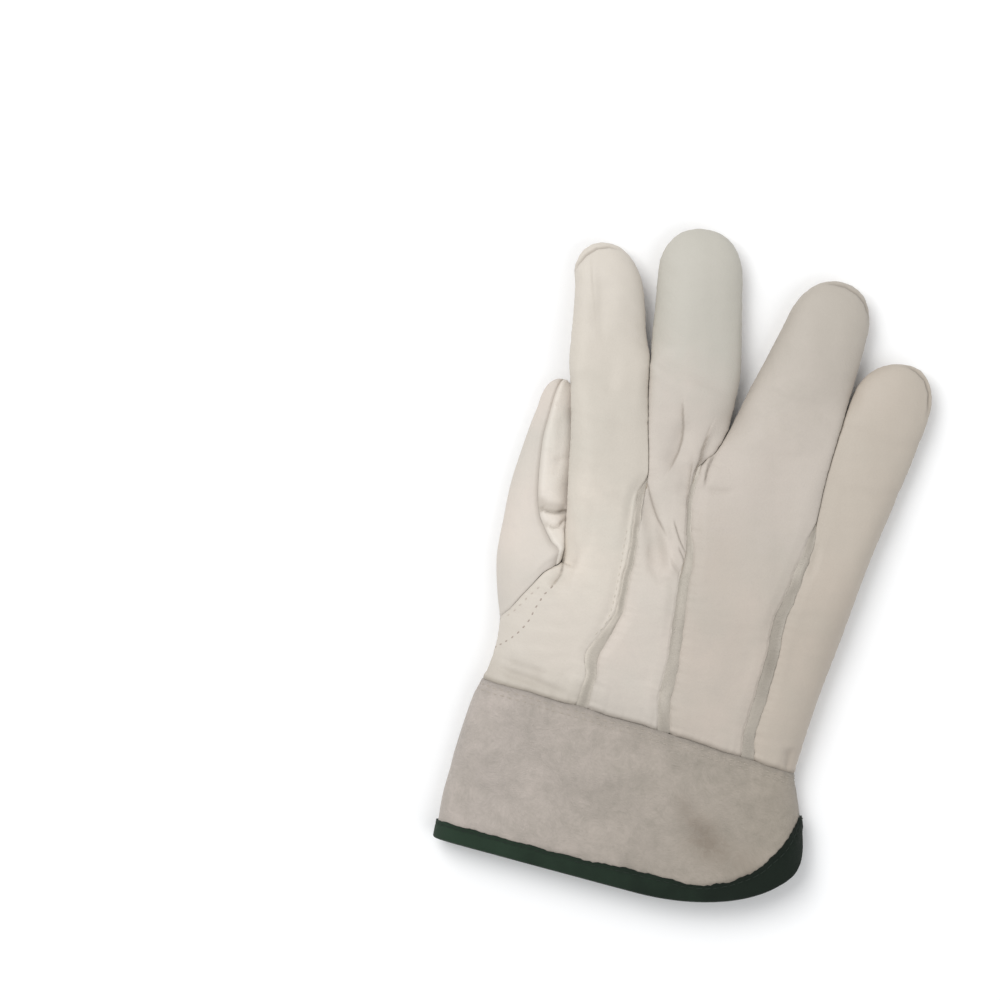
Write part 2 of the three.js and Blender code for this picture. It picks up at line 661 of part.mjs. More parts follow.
// A point of the cuff a given height off its outer face, at t along a column
function cuffOffset(column, t, height) {
  const { share, y } = column.path(t);
  const point = cuffPoint(share, y, column.isBack);
  const middle = Math.min(1 - SHARE_STEP, Math.max(SHARE_STEP, share));
  const pointAt = (at, along) => cuffPoint(at, along, column.isBack);
  const aroundCuff = pointAt(middle + SHARE_STEP, y).sub(pointAt(middle - SHARE_STEP, y));
  const alongArm = pointAt(middle, y - STEP).sub(pointAt(middle, y));
  const direction = aroundCuff.cross(alongArm).normalize();
  if (!column.isBack) direction.negate();
  if (share < SHARE_STEP) direction.set(1, 0, 0);
  if (share > 1 - SHARE_STEP) direction.set(-1, 0, 0);
  const lifted = smooth((t - HEM_LIFT.from) / HEM_LIFT.over) * (1 - point.z / HEM_LIFT.noneAt);
  point.z += HEM_LIFT.rise * lifted;
  return point.addScaledVector(direction, height);
}

// A tube that closes on itself, from its section rings. Each quad is cut along its shorter
// diagonal, so two layers of leather are cut alike and stay clear of each other.
function ringSolid(rings) {
  const size = rings[0].length;
  const points = rings.flat();
  const faces = [];
  rings.forEach((_, i) => {
    const next = (i + 1) % rings.length;
    for (let j = 0; j < size; j++) {
      const k = (j + 1) % size;
      const [a, b] = [i * size + j, i * size + k];
      const [c, d] = [next * size + k, next * size + j];
      if (points[a].distanceTo(points[c]) < points[b].distanceTo(points[d])) {
        faces.push([a, c, b], [a, d, c]);
      } else {
        faces.push([a, d, b], [b, d, c]);
      }
    }
  });
  return meshGeometry(points, faces);
}

// The share of a column's length that a stretch next to the hem takes
function lengthShare(column, length) {
  const stretch = 0.1;
  const nearHem = cuffOffset(column, 1 - stretch, 0).distanceTo(cuffOffset(column, 1, 0));
  return (length * stretch) / nearHem;
}

// The cuff: wrist seam to hem, outside and inside
function cuffPiece() {
  const rings = cuffColumns().map((column) => {
    const bound = 1 - lengthShare(column, BINDING_WIDTH);
    const rows = [];
    for (let i = 0; i < CUFF_ROWS; i++) rows.push((bound * i) / CUFF_ROWS);
    rows.push(bound, (1 + bound) / 2, 1);
    const outer = rows.map((t) => cuffOffset(column, t, 0));
    const inner = rows.map((t) => cuffOffset(column, t, -SPLIT_LEATHER));
    return [...outer, ...inner.reverse()];
  });
  return ringSolid(rings);
}

// The tape folded over the hem: its two legs, and the fold beyond the hem's edge
function cuffBinding() {
  const outside = TAPE_EASE;
  const inside = -SPLIT_LEATHER - TAPE_EASE;
  const rings = cuffColumns().map((column) => {
    const start = 1 - lengthShare(column, BINDING_WIDTH);
    const middle = (1 + start) / 2;
    const fold = 1 + lengthShare(column, GAP);
    const nose = 1 + lengthShare(column, GAP + TAPE);
    return [
      [start, outside], [start, outside + TAPE], [middle, outside + TAPE], [fold, outside + TAPE * 0.9],
      [nose, -SPLIT_LEATHER / 2], [fold, inside - TAPE * 0.9], [middle, inside - TAPE],
      [start, inside - TAPE], [start, inside], [middle, inside], [fold, inside], [fold, outside],
      [middle, outside],
    ].map(([t, height]) => cuffOffset(column, t, height));
  });
  return ringSolid(rings);
}

function addPiece(group, name, geometry, color, roughness) {
  const material = new THREE.MeshStandardMaterial({ color, roughness, metalness: 0 });
  const mesh = new THREE.Mesh(geometry, material);
  mesh.name = name;
  group.add(mesh);
}

const glove = new THREE.Group();
for (const name of Object.keys(FINGERS)) {
  addPiece(glove, `back_${name}`, backStrip(name), COLOUR.cream, 0.7);
}
addPiece(glove, 'palm', palmPiece(), COLOUR.cream, 0.7);
addPiece(glove, 'thumb_outer', thumbHalf(true), COLOUR.cream, 0.7);
addPiece(glove, 'thumb_inner', thumbHalf(false), COLOUR.cream, 0.7);
for (const seam of Object.keys(SEAM)) {
  addPiece(glove, `seam_strip_${seam}`, seamStrip(seam), COLOUR.seam, 0.8);
}
addPiece(glove, 'cuff', cuffPiece(), COLOUR.split, 0.95);
addPiece(glove, 'cuff_binding', cuffBinding(), COLOUR.green, 0.85);
glove.position.set(-PLAN_CENTRE.x, -PLAN_CENTRE.y, 0);

export default glove;
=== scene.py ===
# %% [markdown]
# A leather work glove, palm down
#
# A work glove is cut flat from hide, sewn inside out and turned. What the eye reads as "leather glove" is
# therefore not the smooth outline but what sewing does to it: edges that roll into seams, small puckers,
# pinched folds between the fingers, a napped cuff and a woven tape round its hem. This script loads the
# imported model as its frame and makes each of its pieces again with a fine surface, from the same named
# sizes and short tables.

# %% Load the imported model
import math
from types import SimpleNamespace

import bpy
import numpy as np
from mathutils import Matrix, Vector
from mathutils.bvhtree import BVHTree


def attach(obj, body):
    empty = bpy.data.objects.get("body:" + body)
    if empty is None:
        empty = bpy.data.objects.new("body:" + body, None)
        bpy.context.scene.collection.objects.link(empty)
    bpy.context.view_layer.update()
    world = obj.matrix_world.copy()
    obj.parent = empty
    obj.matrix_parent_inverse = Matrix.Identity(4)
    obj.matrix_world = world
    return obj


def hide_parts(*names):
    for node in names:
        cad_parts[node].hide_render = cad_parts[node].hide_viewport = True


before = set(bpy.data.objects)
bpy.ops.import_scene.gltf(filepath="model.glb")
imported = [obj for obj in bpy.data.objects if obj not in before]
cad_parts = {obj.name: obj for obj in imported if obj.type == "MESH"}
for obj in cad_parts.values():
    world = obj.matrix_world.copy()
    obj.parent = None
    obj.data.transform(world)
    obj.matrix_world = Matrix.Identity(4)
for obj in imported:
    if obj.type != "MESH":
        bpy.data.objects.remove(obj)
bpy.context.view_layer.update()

# %% [markdown]
# Sizes
#
# All shapes below are worked out in millimetres, from a point on the back of the hand, because that is how
# a glove is measured. Only the finished points are moved to the frame and turned into metres.

# %% Sizes that pieces share
LEATHER, SPLIT_LEATHER, TAPE, GAP = 1.4, 1.6, 0.9, 0.3
WEB, SEAM_DEPTH, SEAM_REACH, TIP_POWER = 14, 1.2, 7, 2.3
WRIST_ROW, TOUCH_GAP, FADE, UV_UNIT = -62, 0.02, 0.3, 100
PLAN_CENTRE = np.array([-1.2, 3.7, 0.0])
print(f"Leather {LEATHER} mm, split leather {SPLIT_LEATHER} mm, tape {TAPE} mm")


def mix(a, b, t):
    return a + (b - a) * t


def smooth(t):
    t = np.clip(t, 0, 1)
    return t * t * (3 - 2 * t)


def rounded(t):
    """Rises from 0 to 1 as a quarter circle does"""
    return np.sqrt(1 - (1 - np.clip(t, 0, 1)) ** 2)


def bell(distance, half_width):
    """1 on a line, and close to 0 beyond twice the half width"""
    return np.exp(-((distance / half_width) ** 2))


def in_frame(points):
    """Millimetres in the tables' coordinates to metres in the frame"""
    return (np.asarray(points, float) - PLAN_CENTRE) / 1000


# %% [markdown]
# A short table with a smooth curve through it is the easiest way to describe an outline: a few measured
# rows, and no wobble between them. The curve is a monotone cubic, which never overshoots its points.

# %% Tables that become smooth functions
def smooth_through(at, value):
    at, value = np.asarray(at, float), np.asarray(value, float)
    rate = np.diff(value) / np.diff(at)
    slope = np.concatenate([rate[:1], np.zeros(len(at) - 2), rate[-1:]])
    same_way = rate[:-1] * rate[1:] > 0
    both = np.where(same_way, rate[:-1] + rate[1:], 1)
    slope[1:-1] = np.where(same_way, 2 * rate[:-1] * rate[1:] / both, 0)

    def curve(x):
        x = np.asarray(x, float)
        i = np.clip(np.searchsorted(at, x) - 1, 0, len(at) - 2)
        width = at[i + 1] - at[i]
        t = np.clip((x - at[i]) / width, 0, 1)
        bend = (1 - t) * (slope[i] - rate[i]) + t * (rate[i] - slope[i + 1])
        inside = value[i] + (value[i + 1] - value[i]) * t + width * t * (1 - t) * bend
        below, above = np.minimum(x - at[0], 0), np.maximum(x - at[-1], 0)
        return inside + slope[0] * below + slope[-1] * above

    return curve


def table(columns, *rows):
    rows = np.array(rows, float)
    curves = [smooth_through(rows[:, 0], values) for values in rows[:, 1:].T]
    return SimpleNamespace(**dict(zip(columns.split()[1:], curves)))


def ripples(seed, shortest, longest):
    """A smooth random function along a seam"""
    random = np.random.default_rng(seed)
    length, phase = random.uniform(shortest, longest, 5), random.uniform(0, 2 * math.pi, 5)
    return lambda s: sum(np.sin(2 * math.pi * s / length[k] + phase[k]) for k in range(5)) / 2.5


print("Half way between 0 and 10 the curve reads", smooth_through((0, 5, 10), (0, 8, 10))(5))

# %% The seams of the back, from the wrist to where two fingers part
edge_waves = ripples(41, 7, 26)
SEAM = {
    "index": table("y x half_width",
                   (-62, -28.4, 1.7), (-50, -27.9, 1.6), (-41, -30, 2.0), (-33, -27, 1.5), (-20, -24.2, 1.0),
                   (-5, -24.6, 1.0), (12, -26, 0.9), (25, -27.6, 0.8), (33, -26.8, 0.6), (42, -28.6, 0.6),
                   (51, -31.2, 0.6), (60, -33.5, 0.6), (70, -36, 0.6), (81, -38.2, 0.6)),
    "middle": table("y x half_width",
                    (-63, 6, 2.0), (-50, 2.8, 1.9), (-30, 1.4, 1.8), (-15, -0.8, 1.6), (-2, -2.0, 1.5),
                    (8, -3, 1.1), (18, -5.5, 0.4), (32, -8.3, 0.3), (42, -8, 0.3), (50, -3, 0.3),
                    (60, 0, 0.3)),
    "ring": table("y x half_width",
                  (-65, 41.2, 1.9), (-50, 38.8, 1.8), (-28, 39.6, 1.9), (-12, 38.7, 1.8), (10, 41.1, 1.5),
                  (20, 42.2, 1.2), (32, 43, 0.6), (50, 42.4, 0.6), (70, 43, 0.6), (81, 43.6, 0.6)),
}
CROTCH = {"index": 33, "middle": 45, "ring": 33}
APART = {"index": 81, "middle": 60, "ring": 81}
TOUCH = {  # how far above their side seams two fingers meet
    "index": table("y lift",
                   (20, 8.4), (30, 9), (37, 10.2), (42, 9.6), (52, 8), (62, 6), (72, 4.2), (90, 3.6)),
    "middle": table("y lift", (30, 8.4), (45, 8.4), (53, 6), (60, 3.8), (66, 3.8)),
    "ring": table("y lift", (20, 8.4), (33, 8.4), (45, 7.8), (57, 6.6), (69, 5), (81, 3.8), (90, 3.8)),
}
print("Two fingers part at", CROTCH, "and come clear of each other at", APART)

# %% The outline of the hand and its fingers
INDEX_LEFT = table("y x",
                   (-61.3, -69.6), (-56, -68.5), (-48, -68), (-40, -68.5), (-36.5, -69), (-31, -66),
                   (-25, -63), (-19.5, -60), (-14, -57), (-8, -51.6), (0, -52.3), (6, -53.4), (13, -54.7),
                   (20, -56.3), (30, -58.5), (40, -60.5), (50, -63), (62, -66.4), (70, -69), (80, -70.8),
                   (90, -72.5), (100, -74.5), (107, -76.6), (120, -77.5))
INDEX_RIGHT = table("y x", (81, -38.2), (90, -42), (98, -44.5), (105, -47), (120, -53))
MIDDLE_LEFT = table("y x", (81, -38.2), (90, -40), (100, -41.5), (112, -43.6), (120, -44.6), (135.5, -44.8))
MIDDLE_RIGHT = table("y x",
                     (60, 0), (70, 0), (80, -0.6), (88, -2), (100, -5), (108, -7), (118, -9.4), (135.5, -12))
RING_LEFT = table("y x", (60, 0), (70, 2), (80, 4), (88, 6), (97, 8), (108, 10.4), (129, 14))
RING_RIGHT = table("y x", (81, 43.6), (90, 44), (106, 44.2), (129, 44))
LITTLE_LEFT = table("y x", (81, 43.6), (88, 44.4), (103.7, 46.5))
LITTLE_RIGHT = table("y x",
                     (-66, 61), (-55, 61.2), (-40, 62), (-10, 65), (22, 68), (50, 72), (72, 75), (83, 76.1),
                     (90, 76.3), (103.7, 75.5))
HAND_LEFT = table("y x", (-36.5, -69), (-31, -69.3), (-25, -68), (-19.5, -66), (-14, -61.5), (-8, -51.6))
THUMB_HOLE = (-36.5, -8)
WRIST = table("x y", (-69.6, -61.4), (-28, -62.1), (0, -62.8), (38, -64.8), (61, -66))
print("Hand", round(float(LITTLE_RIGHT.x(-8) - INDEX_LEFT.x(-8)), 1), "mm wide above the thumb")

# %% Heights of the hand and its fingers
SIDE_SEAM = table("y height",
                  (-66, 8), (-50, 8.4), (-25, 8.6), (0, 8.6), (20, 8.4), (42, 8.2), (75, 7.9), (135, 7.3))
HAND = table("y reach crown",
             (-66, 13, 3.5), (-50, 13, 5), (-25, 13, 6.5), (0, 12, 6.5), (20, 11, 5.5), (42, 10, 4.5))
INDEX_TILT = table("y lift",
                   (-70, 0), (-34, 0), (-24, 1), (-16, 2.8), (-8, 5.2), (0, 5.9), (8, 6.3), (14, 6.9),
                   (20, 7.6), (46, 7.6), (60, 6.4), (75, 4), (95, 1.5), (120, 0))


def one_finger(left_seam, right_seam, left, right, tip, tip_from, *heights):
    """Seams and outlines at both sides, the fingertip and where it starts, and rows of y, back and belly"""
    return SimpleNamespace(left_seam=left_seam, right_seam=right_seam, left=left.x, right=right.x, tip=tip,
                           tip_from=tip_from, height=table("y back belly", *heights))


FINGERS = {
    "index": one_finger(None, "index", INDEX_LEFT, INDEX_RIGHT, (-64.5, 120), 105,
                        (18, 21, 0), (33, 20, 0), (60, 18, 0.3),
                        (90, 16.5, 0.6), (105, 15.5, 0.8), (120, 14, 1.2)),
    "middle": one_finger("index", "middle", MIDDLE_LEFT, MIDDLE_RIGHT, (-27, 135.5), 116,
                         (18, 21.5, 0), (42, 20, 0), (75, 18, 0.2), (105, 16.5, 0.6), (135.5, 14, 1.4)),
    "ring": one_finger("middle", "ring", RING_LEFT, RING_RIGHT, (29, 129), 110,
                       (18, 21, 0), (42, 20, 0), (75, 18.5, 0.2), (105, 17, 0.5), (129, 14.5, 1.2)),
    "little": one_finger("ring", None, LITTLE_LEFT, LITTLE_RIGHT, (64, 103.7), 86,
                         (18, 18.5, 0), (33, 17.5, 0), (60, 16, 0.3), (85, 14.5, 0.6), (103.7, 13, 1)),
}
print("Height at the knuckles:", {name: float(FINGERS[name].height.back(18)) for name in FINGERS}, "mm")

# %% [markdown]
# The shape of a strip
#
# The back of this glove is four strips of hide, one for each finger, sewn edge to edge down the back of the
# hand. Below the crotch of two fingers a strip is part of the broad hand, above it a strip is the upper
# half of one finger. Both shapes are simple on their own, so the surface is a blend of the two, and the
# blend is a half round at the edges, as the web of skin between two fingers is.

# %% The surface of a strip
def seam_clearance(seam, y):
    held = SEAM[seam].half_width(y) + GAP
    return mix(held, GAP / 2, smooth((y - (CROTCH[seam] - WEB / 2)) / (WEB / 2)))


def finger_share(seam, y):
    return 1 - rounded((CROTCH[seam] - y) / WEB)


def middle_share(seam, y):
    return smooth((y - CROTCH[seam] + 2 * WEB) / (3 * WEB))


def touching(seam, y):
    """Where two fingers lie side by side without a gap"""
    if not seam:
        return np.zeros_like(y)
    return smooth((y - CROTCH[seam] + 4) / 6) * smooth((APART[seam] + 6 - y) / 12)


def touch_lift(seam, y):
    """How far above their side seams two fingers meet: most at the crotch, less than half where they part"""
    if not seam:
        return np.zeros_like(y)
    web, parting = smooth((y - CROTCH[seam] + WEB) / 8), smooth((APART[seam] + 6 - y) / 12)
    return TOUCH[seam].lift(y) * web * parting


def strip_edges(name, y, is_back):
    """The left and the right edge of a strip, and how much of its width is left towards the fingertip"""
    finger = FINGERS[name]
    edges = []
    for outline, seam, inwards in ((finger.left, finger.left_seam, 1), (finger.right, finger.right_seam, -1)):
        x = outline(y)
        if seam:
            clear = seam_clearance(seam, y) if is_back else np.where(y > CROTCH[seam], GAP / 2, 0)
            clear = np.minimum(clear, mix(clear, TOUCH_GAP, touching(seam, y)))
            wavy = 0.22 * edge_waves(y + 40 * inwards + 9 * CROTCH[seam])
            wavy = wavy * smooth((CROTCH[seam] - WEB - y) / 9) * is_back
            x = np.where(y <= APART[seam], SEAM[seam].x(y), x) + inwards * (clear + wavy)
        edges.append(x)
    along = np.clip((y - finger.tip_from) / (finger.tip[1] - finger.tip_from), 0, 1)
    narrowing = (1 - along**TIP_POWER) ** (1 / TIP_POWER)
    return mix(finger.tip[0], edges[0], narrowing), mix(finger.tip[0], edges[1], narrowing), narrowing


def hand_height(x, y, is_back):
    left = np.where((y > THUMB_HOLE[0]) & (y < THUMB_HOLE[1]), HAND_LEFT.x(y), INDEX_LEFT.x(y))
    right = LITTLE_RIGHT.x(y)
    rise = rounded(np.maximum(0, np.minimum(x - left, right - x)) / HAND.reach(y))
    side = SIDE_SEAM.height(y)
    if not is_back:
        return (side - GAP / 2) * (1 - rise)
    across = np.clip(np.abs((2 * x - left - right) / (right - left)), 0, 1)
    return side + GAP / 2 * (1 - rise) + side * rise + HAND.crown(y) * (1 - across**2)


def wrist_line(x):
    return WRIST.y(x) + 0.15 * edge_waves(x)


def wrist_shift(x, y):
    return (wrist_line(x) - WRIST_ROW) * np.clip((THUMB_HOLE[0] - y) / (THUMB_HOLE[0] - WRIST_ROW), 0, 1)


def strip_surface(name, y, across, is_back):
    """Points of a strip's back or palm side, from its left edge (across 0) to its right (1)"""
    finger = FINGERS[name]
    left, right, narrowing = strip_edges(name, y, is_back)
    x = mix(left, right, across)
    near, far = finger.left_seam or finger.right_seam, finger.right_seam or finger.left_seam
    at_edge = mix(finger_share(near, y), finger_share(far, y), across)
    mid = mix(middle_share(near, y), middle_share(far, y), across)
    fingerness = mix(mid, at_edge, np.abs(2 * across - 1) ** 2)
    side = SIDE_SEAM.height(y) + (GAP / 2 if is_back else -GAP / 2)
    level = finger.height.back(y) if is_back else finger.height.belly(y)
    inner = np.minimum(across, 1 - across)
    side = side + mix(touch_lift(finger.left_seam, y), touch_lift(finger.right_seam, y), across)
    square = 1 - 0.3 * mix(touching(finger.left_seam, y), touching(finger.right_seam, y), across)
    finger_z = side + (level - side) * narrowing * rounded(2 * inner) ** square
    hand_z = hand_height(x, y, is_back)
    if is_back:
        for seam in filter(None, (finger.left_seam, finger.right_seam)):
            beside = np.clip((x - SEAM[seam].x(y)) / SEAM_REACH, -1, 1)
            hand_z = hand_z - SEAM_DEPTH * (1 - beside**2) ** 2
    z = mix(hand_z, finger_z, fingerness)
    if name == "index":
        z = z + INDEX_TILT.lift(y) * (1 - across)
    if is_back:
        z = z - large_folds(name, x, y) * rounded(3 * inner)
    return np.stack([x, y + wrist_shift(x, y), z], axis=-1)


print("Hand", round(float(hand_height(0.0, 0.0, True)), 1), "mm high in its middle")


# %% [markdown]
# Folds and creases
#
# Soft leather keeps the folds that were pressed into it. Three kinds show here: broad hollows, narrow
# valleys, and laps, where the hide is pinched so that one side of the fold drops sharply under the other.
# Each is a line in plan with a width and a depth, which is far easier to match to a photograph than
# sculpting, and can be moved later.

# %% Folds
LARGE_FOLDS = (  # strip, start, end, half width, depth
    ("middle", (-26, 31), (-12, -5), 4.0, 1.8), ("middle", (-20, 19), (-4, -4), 4.5, -1.2),
    ("middle", (-18, 60), (-19, 38), 3.5, 1.2), ("middle", (-12.5, 44), (-12, 28), 3.0, 0.6),
    ("index", (-50, -8), (-52, -20), 3.5, 1.2), ("index", (-63, 108), (-61, 82), 4.0, 0.8),
    ("index", (-66, 64), (-46, 66), 6.0, 0.7), ("middle", (-38, 78), (-2, 76), 6.0, 0.6),
    ("ring", (4, 77), (42, 76), 6.0, 0.6), ("index", (-64, -57), (-44, -56), 4.0, 0.8),
)


def beside_line(x, y, line):
    """How far along a polyline (0 to 1, and beyond its ends) each point lies, and how far to its right"""
    line = np.array(line, float)
    runs = np.diff(line, axis=0)
    lengths = np.hypot(runs[:, 0], runs[:, 1])
    starts = np.concatenate([[0], np.cumsum(lengths)])
    along, aside = None, None
    for k, (start, run, length) in enumerate(zip(line[:-1], runs, lengths)):
        t = ((x - start[0]) * run[0] + (y - start[1]) * run[1]) / length**2
        held = np.clip(t, -np.inf if k == 0 else 0, np.inf if k == len(runs) - 1 else 1)
        off_x, off_y = x - start[0] - held * run[0], y - start[1] - held * run[1]
        side = np.sign((x - start[0]) * run[1] - (y - start[1]) * run[0])
        distance = side * np.hypot(off_x, off_y)
        here = (starts[k] + held * length) / starts[-1]
        closer = np.ones(np.shape(distance), bool) if aside is None else np.abs(distance) < np.abs(aside)
        along = here if along is None else np.where(closer, here, along)
        aside = distance if aside is None else np.where(closer, distance, aside)
    return along, aside


def fading(along, first=FADE, last=FADE):
    """1 in the middle of a line, and softly 0 at both its ends"""
    return smooth(along / first) * smooth((1 - along) / last)


def valley(x, y, line, half_width):
    along, aside = beside_line(x, y, line)
    return fading(along) * bell(aside, half_width)


def large_folds(strip, x, y):
    depth = np.zeros(np.broadcast(x, y).shape)
    for name, start, end, half_width, deep in LARGE_FOLDS:
        if name == strip:
            depth += deep * valley(x, y, (start, end), half_width)
    return depth


print(len(LARGE_FOLDS), "broad folds")

# %% Creases
CREASES = (  # strip, kind, half width, depth, points
    ("middle", "lap", 1.5, 1.0,
     ((-22, 71), (-20.8, 65), (-18.1, 56), (-17.4, 51), (-17.6, 46), (-18.5, 41), (-20.5, 33))),
    ("middle", "lap", 0.8, 1.2,
     ((-5.6, 66), (-6.6, 62), (-7.3, 58.8), (-7.7, 54), (-8.1, 49), (-7.9, 44.6), (-8.7, 40.6), (-8.9, 34),
      (-8.4, 28), (-7.0, 22), (-5.8, 17), (-4.9, 12), (-4.4, 7))),
    ("middle", "lap", 1.3, 0.8,
     ((-11.2, 48), (-10.9, 42), (-10.3, 37), (-9.8, 33), (-8.7, 29), (-7.1, 24))),
    ("ring", "lap", -1.3, 0.9,
     ((-2.4, 51), (-3.9, 47.5), (-4.5, 44.5), (-4.7, 40.7), (-4.3, 38), (-4, 34))),
    ("ring", "valley", 1.3, 0.45, ((-4.5, 36), (-2.5, 35.2), (0.4, 34.6), (4.3, 35.6), (9, 37))),
    ("middle", "lap", 2.0, 0.65,
     ((-26.9, 35), (-26.3, 31.2), (-23.8, 26.2), (-21.4, 22.1), (-19, 18.5), (-16.2, 15.5), (-12, 11))),
    ("middle", "valley", 3.2, 1.0,
     ((-26.5, 30), (-25.6, 24.8), (-21.7, 17.3), (-17.6, 9), (-14.4, 2.4), (-11, -6))),
    ("middle", "lap", -1.1, 0.6,
     ((-13.4, 21), (-12, 18.8), (-10.1, 15.7), (-8.1, 12.5), (-6.3, 10.2), (-4.4, 7.9), (-3.2, 6))),
    ("middle", "lap", -1.0, 0.55, ((-8.6, 10.6), (-7.1, 8.5), (-4.9, 5.8), (-2.8, 3.1), (-1.8, 1.6))),
    ("middle", "valley", 0.8, 0.5, ((-10.8, 5), (-9, 3.3), (-6, 0.8), (-3.9, -0.9), (-2.4, -2.4))),
    ("middle", "valley", 1.6, 0.45, ((-18, 1), (-15.5, -1.4), (-11.7, -5.2), (-8.3, -5), (-4, -8))),
    ("index", "lap", 1.2, 1.0, ((-50.7, -5), (-50.2, -13), (-51.5, -17), (-54, -20))),
    ("index", "valley", 2.0, 0.6, ((-46.5, 2), (-47.2, -10), (-48, -22))),
    ("index", "valley", 2.4, 0.45, ((-47, 22), (-44, 8), (-44, -6))),
    ("index", "valley", 1.6, 0.8, ((-70, -54), (-60, -56.5), (-50, -57), (-32, -59))),
    ("index", "valley", 1.4, 0.35, ((-68, -51), (-56, -53), (-42, -52.5))),
    ("index", "lap", 2.4, 0.35, ((-73, 118), (-69.5, 107), (-66, 97), (-62.5, 87), (-57, 70))),
    ("index", "valley", 1.8, 0.3, ((-69, 116), (-64.5, 101), (-61, 89), (-56, 74))),
    ("index", "valley", 3.2, 0.4, ((-78, 60), (-64, 62), (-54, 65), (-46, 63), (-30, 66))),
    ("index", "valley", 2.2, 0.25, ((-76, 48), (-62, 50), (-48, 49), (-28, 52))),
    ("middle", "valley", 2.2, 0.4, ((-48, 82), (-36, 79.5), (-24, 76.5), (-12, 75), (8, 71))),
    ("middle", "valley", 2.8, 0.3, ((-44, 72), (-30, 70), (-20, 67), (-2, 68))),
    ("ring", "valley", 3.0, 0.35, ((-4, 82), (12, 78), (28, 77), (52, 80))),
    ("ring", "valley", 2.6, 0.3, ((-6, 58), (8, 54), (24, 55), (40, 60))),
    ("little", "valley", 2.8, 0.35, ((38, 75), (54, 71), (66, 71), (84, 76))),
    ("little", "valley", 1.6, 0.4, ((44.5, 27), (46, 20), (46, 10))),
    ("little", "valley", 2.6, 0.3, ((38, 54), (52, 49), (64, 50), (82, 55))),
    ("little", "valley", 2.2, 1.2, ((57.8, -66.5), (57.4, -61), (56.2, -55.5))),
    ("ring", "valley", 0.55, 0.8,
     ((19, 125.6), (25.6, 127.5), (30.5, 127.6), (36, 125.8), (39.8, 123), (42.2, 119), (43.4, 113))),
    ("index", "valley", 0.55, 0.8,
     ((-76, 102), (-75.8, 108), (-73.6, 113), (-70, 116.8), (-65, 118.7), (-58, 118.4))),
    ("little", "valley", 0.55, 0.8,
     ((57, 102), (62, 102.8), (66.5, 102), (70.7, 99.7), (73.8, 95), (75.2, 89), (75.2, 83))),
)


def creases(strip, x, y):
    """Depth of the narrow folds at plan points of one strip, and how much shade is painted at each point"""
    depth, dark = np.zeros(np.shape(x)), np.zeros(np.shape(x))
    for name, kind, half_width, deep, line in CREASES:
        if name != strip:
            continue
        along, aside = beside_line(x, y, line)
        ends, off = fading(along), aside / half_width
        if kind == "valley":
            depth += deep * ends * bell(off, 1)
            dark = np.maximum(dark, ends * 0.4 * deep / half_width * bell(off, 1))
        else:
            drop = np.where(off > 0, np.exp(-off * 1.1), -0.55 * bell(off, 1.5))
            depth += deep * ends * drop * rounded(np.abs(off) * 1.5)
            dark = np.maximum(dark, ends * min(1, 0.65 * deep) * bell(aside, 0.65))
    return depth, dark


print(len(CREASES), "creases on the back")


# %% [markdown]
# Between the folds the hide is never quite flat. A handful of sine waves with mixed directions and lengths
# gives soft dents that are the same on every run. The same trick in one dimension makes the uneven puckers
# that the thread draws along a seam.

# %% Dents and puckers
def waves(seed, count, shortest, longest):
    """A smooth random function of one or two coordinates, about -1 to 1"""
    random = np.random.default_rng(seed)
    length = random.uniform(shortest, longest, count)
    turn, phase = random.uniform(0, 2 * math.pi, (2, count))

    def value(x, y):
        total = 0
        for k in range(count):
            run = x * math.cos(turn[k]) + y * math.sin(turn[k])
            total = total + np.sin(2 * math.pi / length[k] * run + phase[k])
        return total / math.sqrt(count)

    return value


dents = waves(7, 9, 22, 48)
small_dents = waves(11, 12, 6, 13)
wrinkles = waves(13, 10, 3.5, 8)
long_puckers = ripples(3, 4.5, 9)
short_puckers = ripples(5, 2.4, 3.9)
print("Dent at the origin:", round(float(dents(0, 0)), 3))

# %% [markdown]
# From a surface to a sewn piece
#
# Each piece starts as a grid of points. The details above then move every point in or out along the
# surface's own direction, so folds run round a fingertip as well as over the flat back. The grid is closer
# together at the seams, where the leather rolls in within a millimetre, and wider in the middle.

# %% Grids and how they are pushed in
def crowded(count, crowding=0.9):
    """Steps from 0 to 1 that are finer at both ends"""
    t = np.linspace(0, 1, count + 1)
    return mix(t, (1 - np.cos(math.pi * t)) / 2, crowding)


def directions(grid, flip=False):
    """Which way is out of the surface at every point"""
    along, across = np.gradient(grid, axis=0), np.gradient(grid, axis=1)
    out = np.cross(across, along)
    size = np.linalg.norm(out, axis=-1, keepdims=True)
    out = np.where(size > 1e-9, out / np.maximum(size, 1e-9), (0, 1, 0))
    return -out if flip else out


def run_across(grid):
    """Distance along the surface from the first and from the last column"""
    steps = np.linalg.norm(np.diff(grid, axis=1), axis=-1)
    start = np.concatenate([np.zeros((len(grid), 1)), np.cumsum(steps, axis=1)], axis=1)
    return start, start[:, -1:] - start


def run_along(grid, column):
    steps = np.linalg.norm(np.diff(grid[:, column], axis=0), axis=-1)
    return np.concatenate([[0], np.cumsum(steps)])[:, None]


def rolled(distance, deep=0.55, within=0.9):
    """A cut edge that turns down into a seam, and swells a little before it"""
    return deep * (1 - rounded(distance / within)) - 0.3 * deep * bell(distance - 1.6, 0.9)


def eased(distance, deep, within):
    """An edge that dips softly towards its seam"""
    return deep * (1 - smooth(distance / within))


def puckered(distance, s, deep, within):
    """The uneven waves that the thread draws beside a seam, at a run s along it"""
    fade = np.exp(-distance / within) * smooth(distance / 0.6)
    return deep * fade * (0.6 * long_puckers(s) + 0.4 * short_puckers(s))


print("A rolled edge goes down", rolled(0.0), "mm")

# %% The rows of a strip
TIP_ROWS = 44


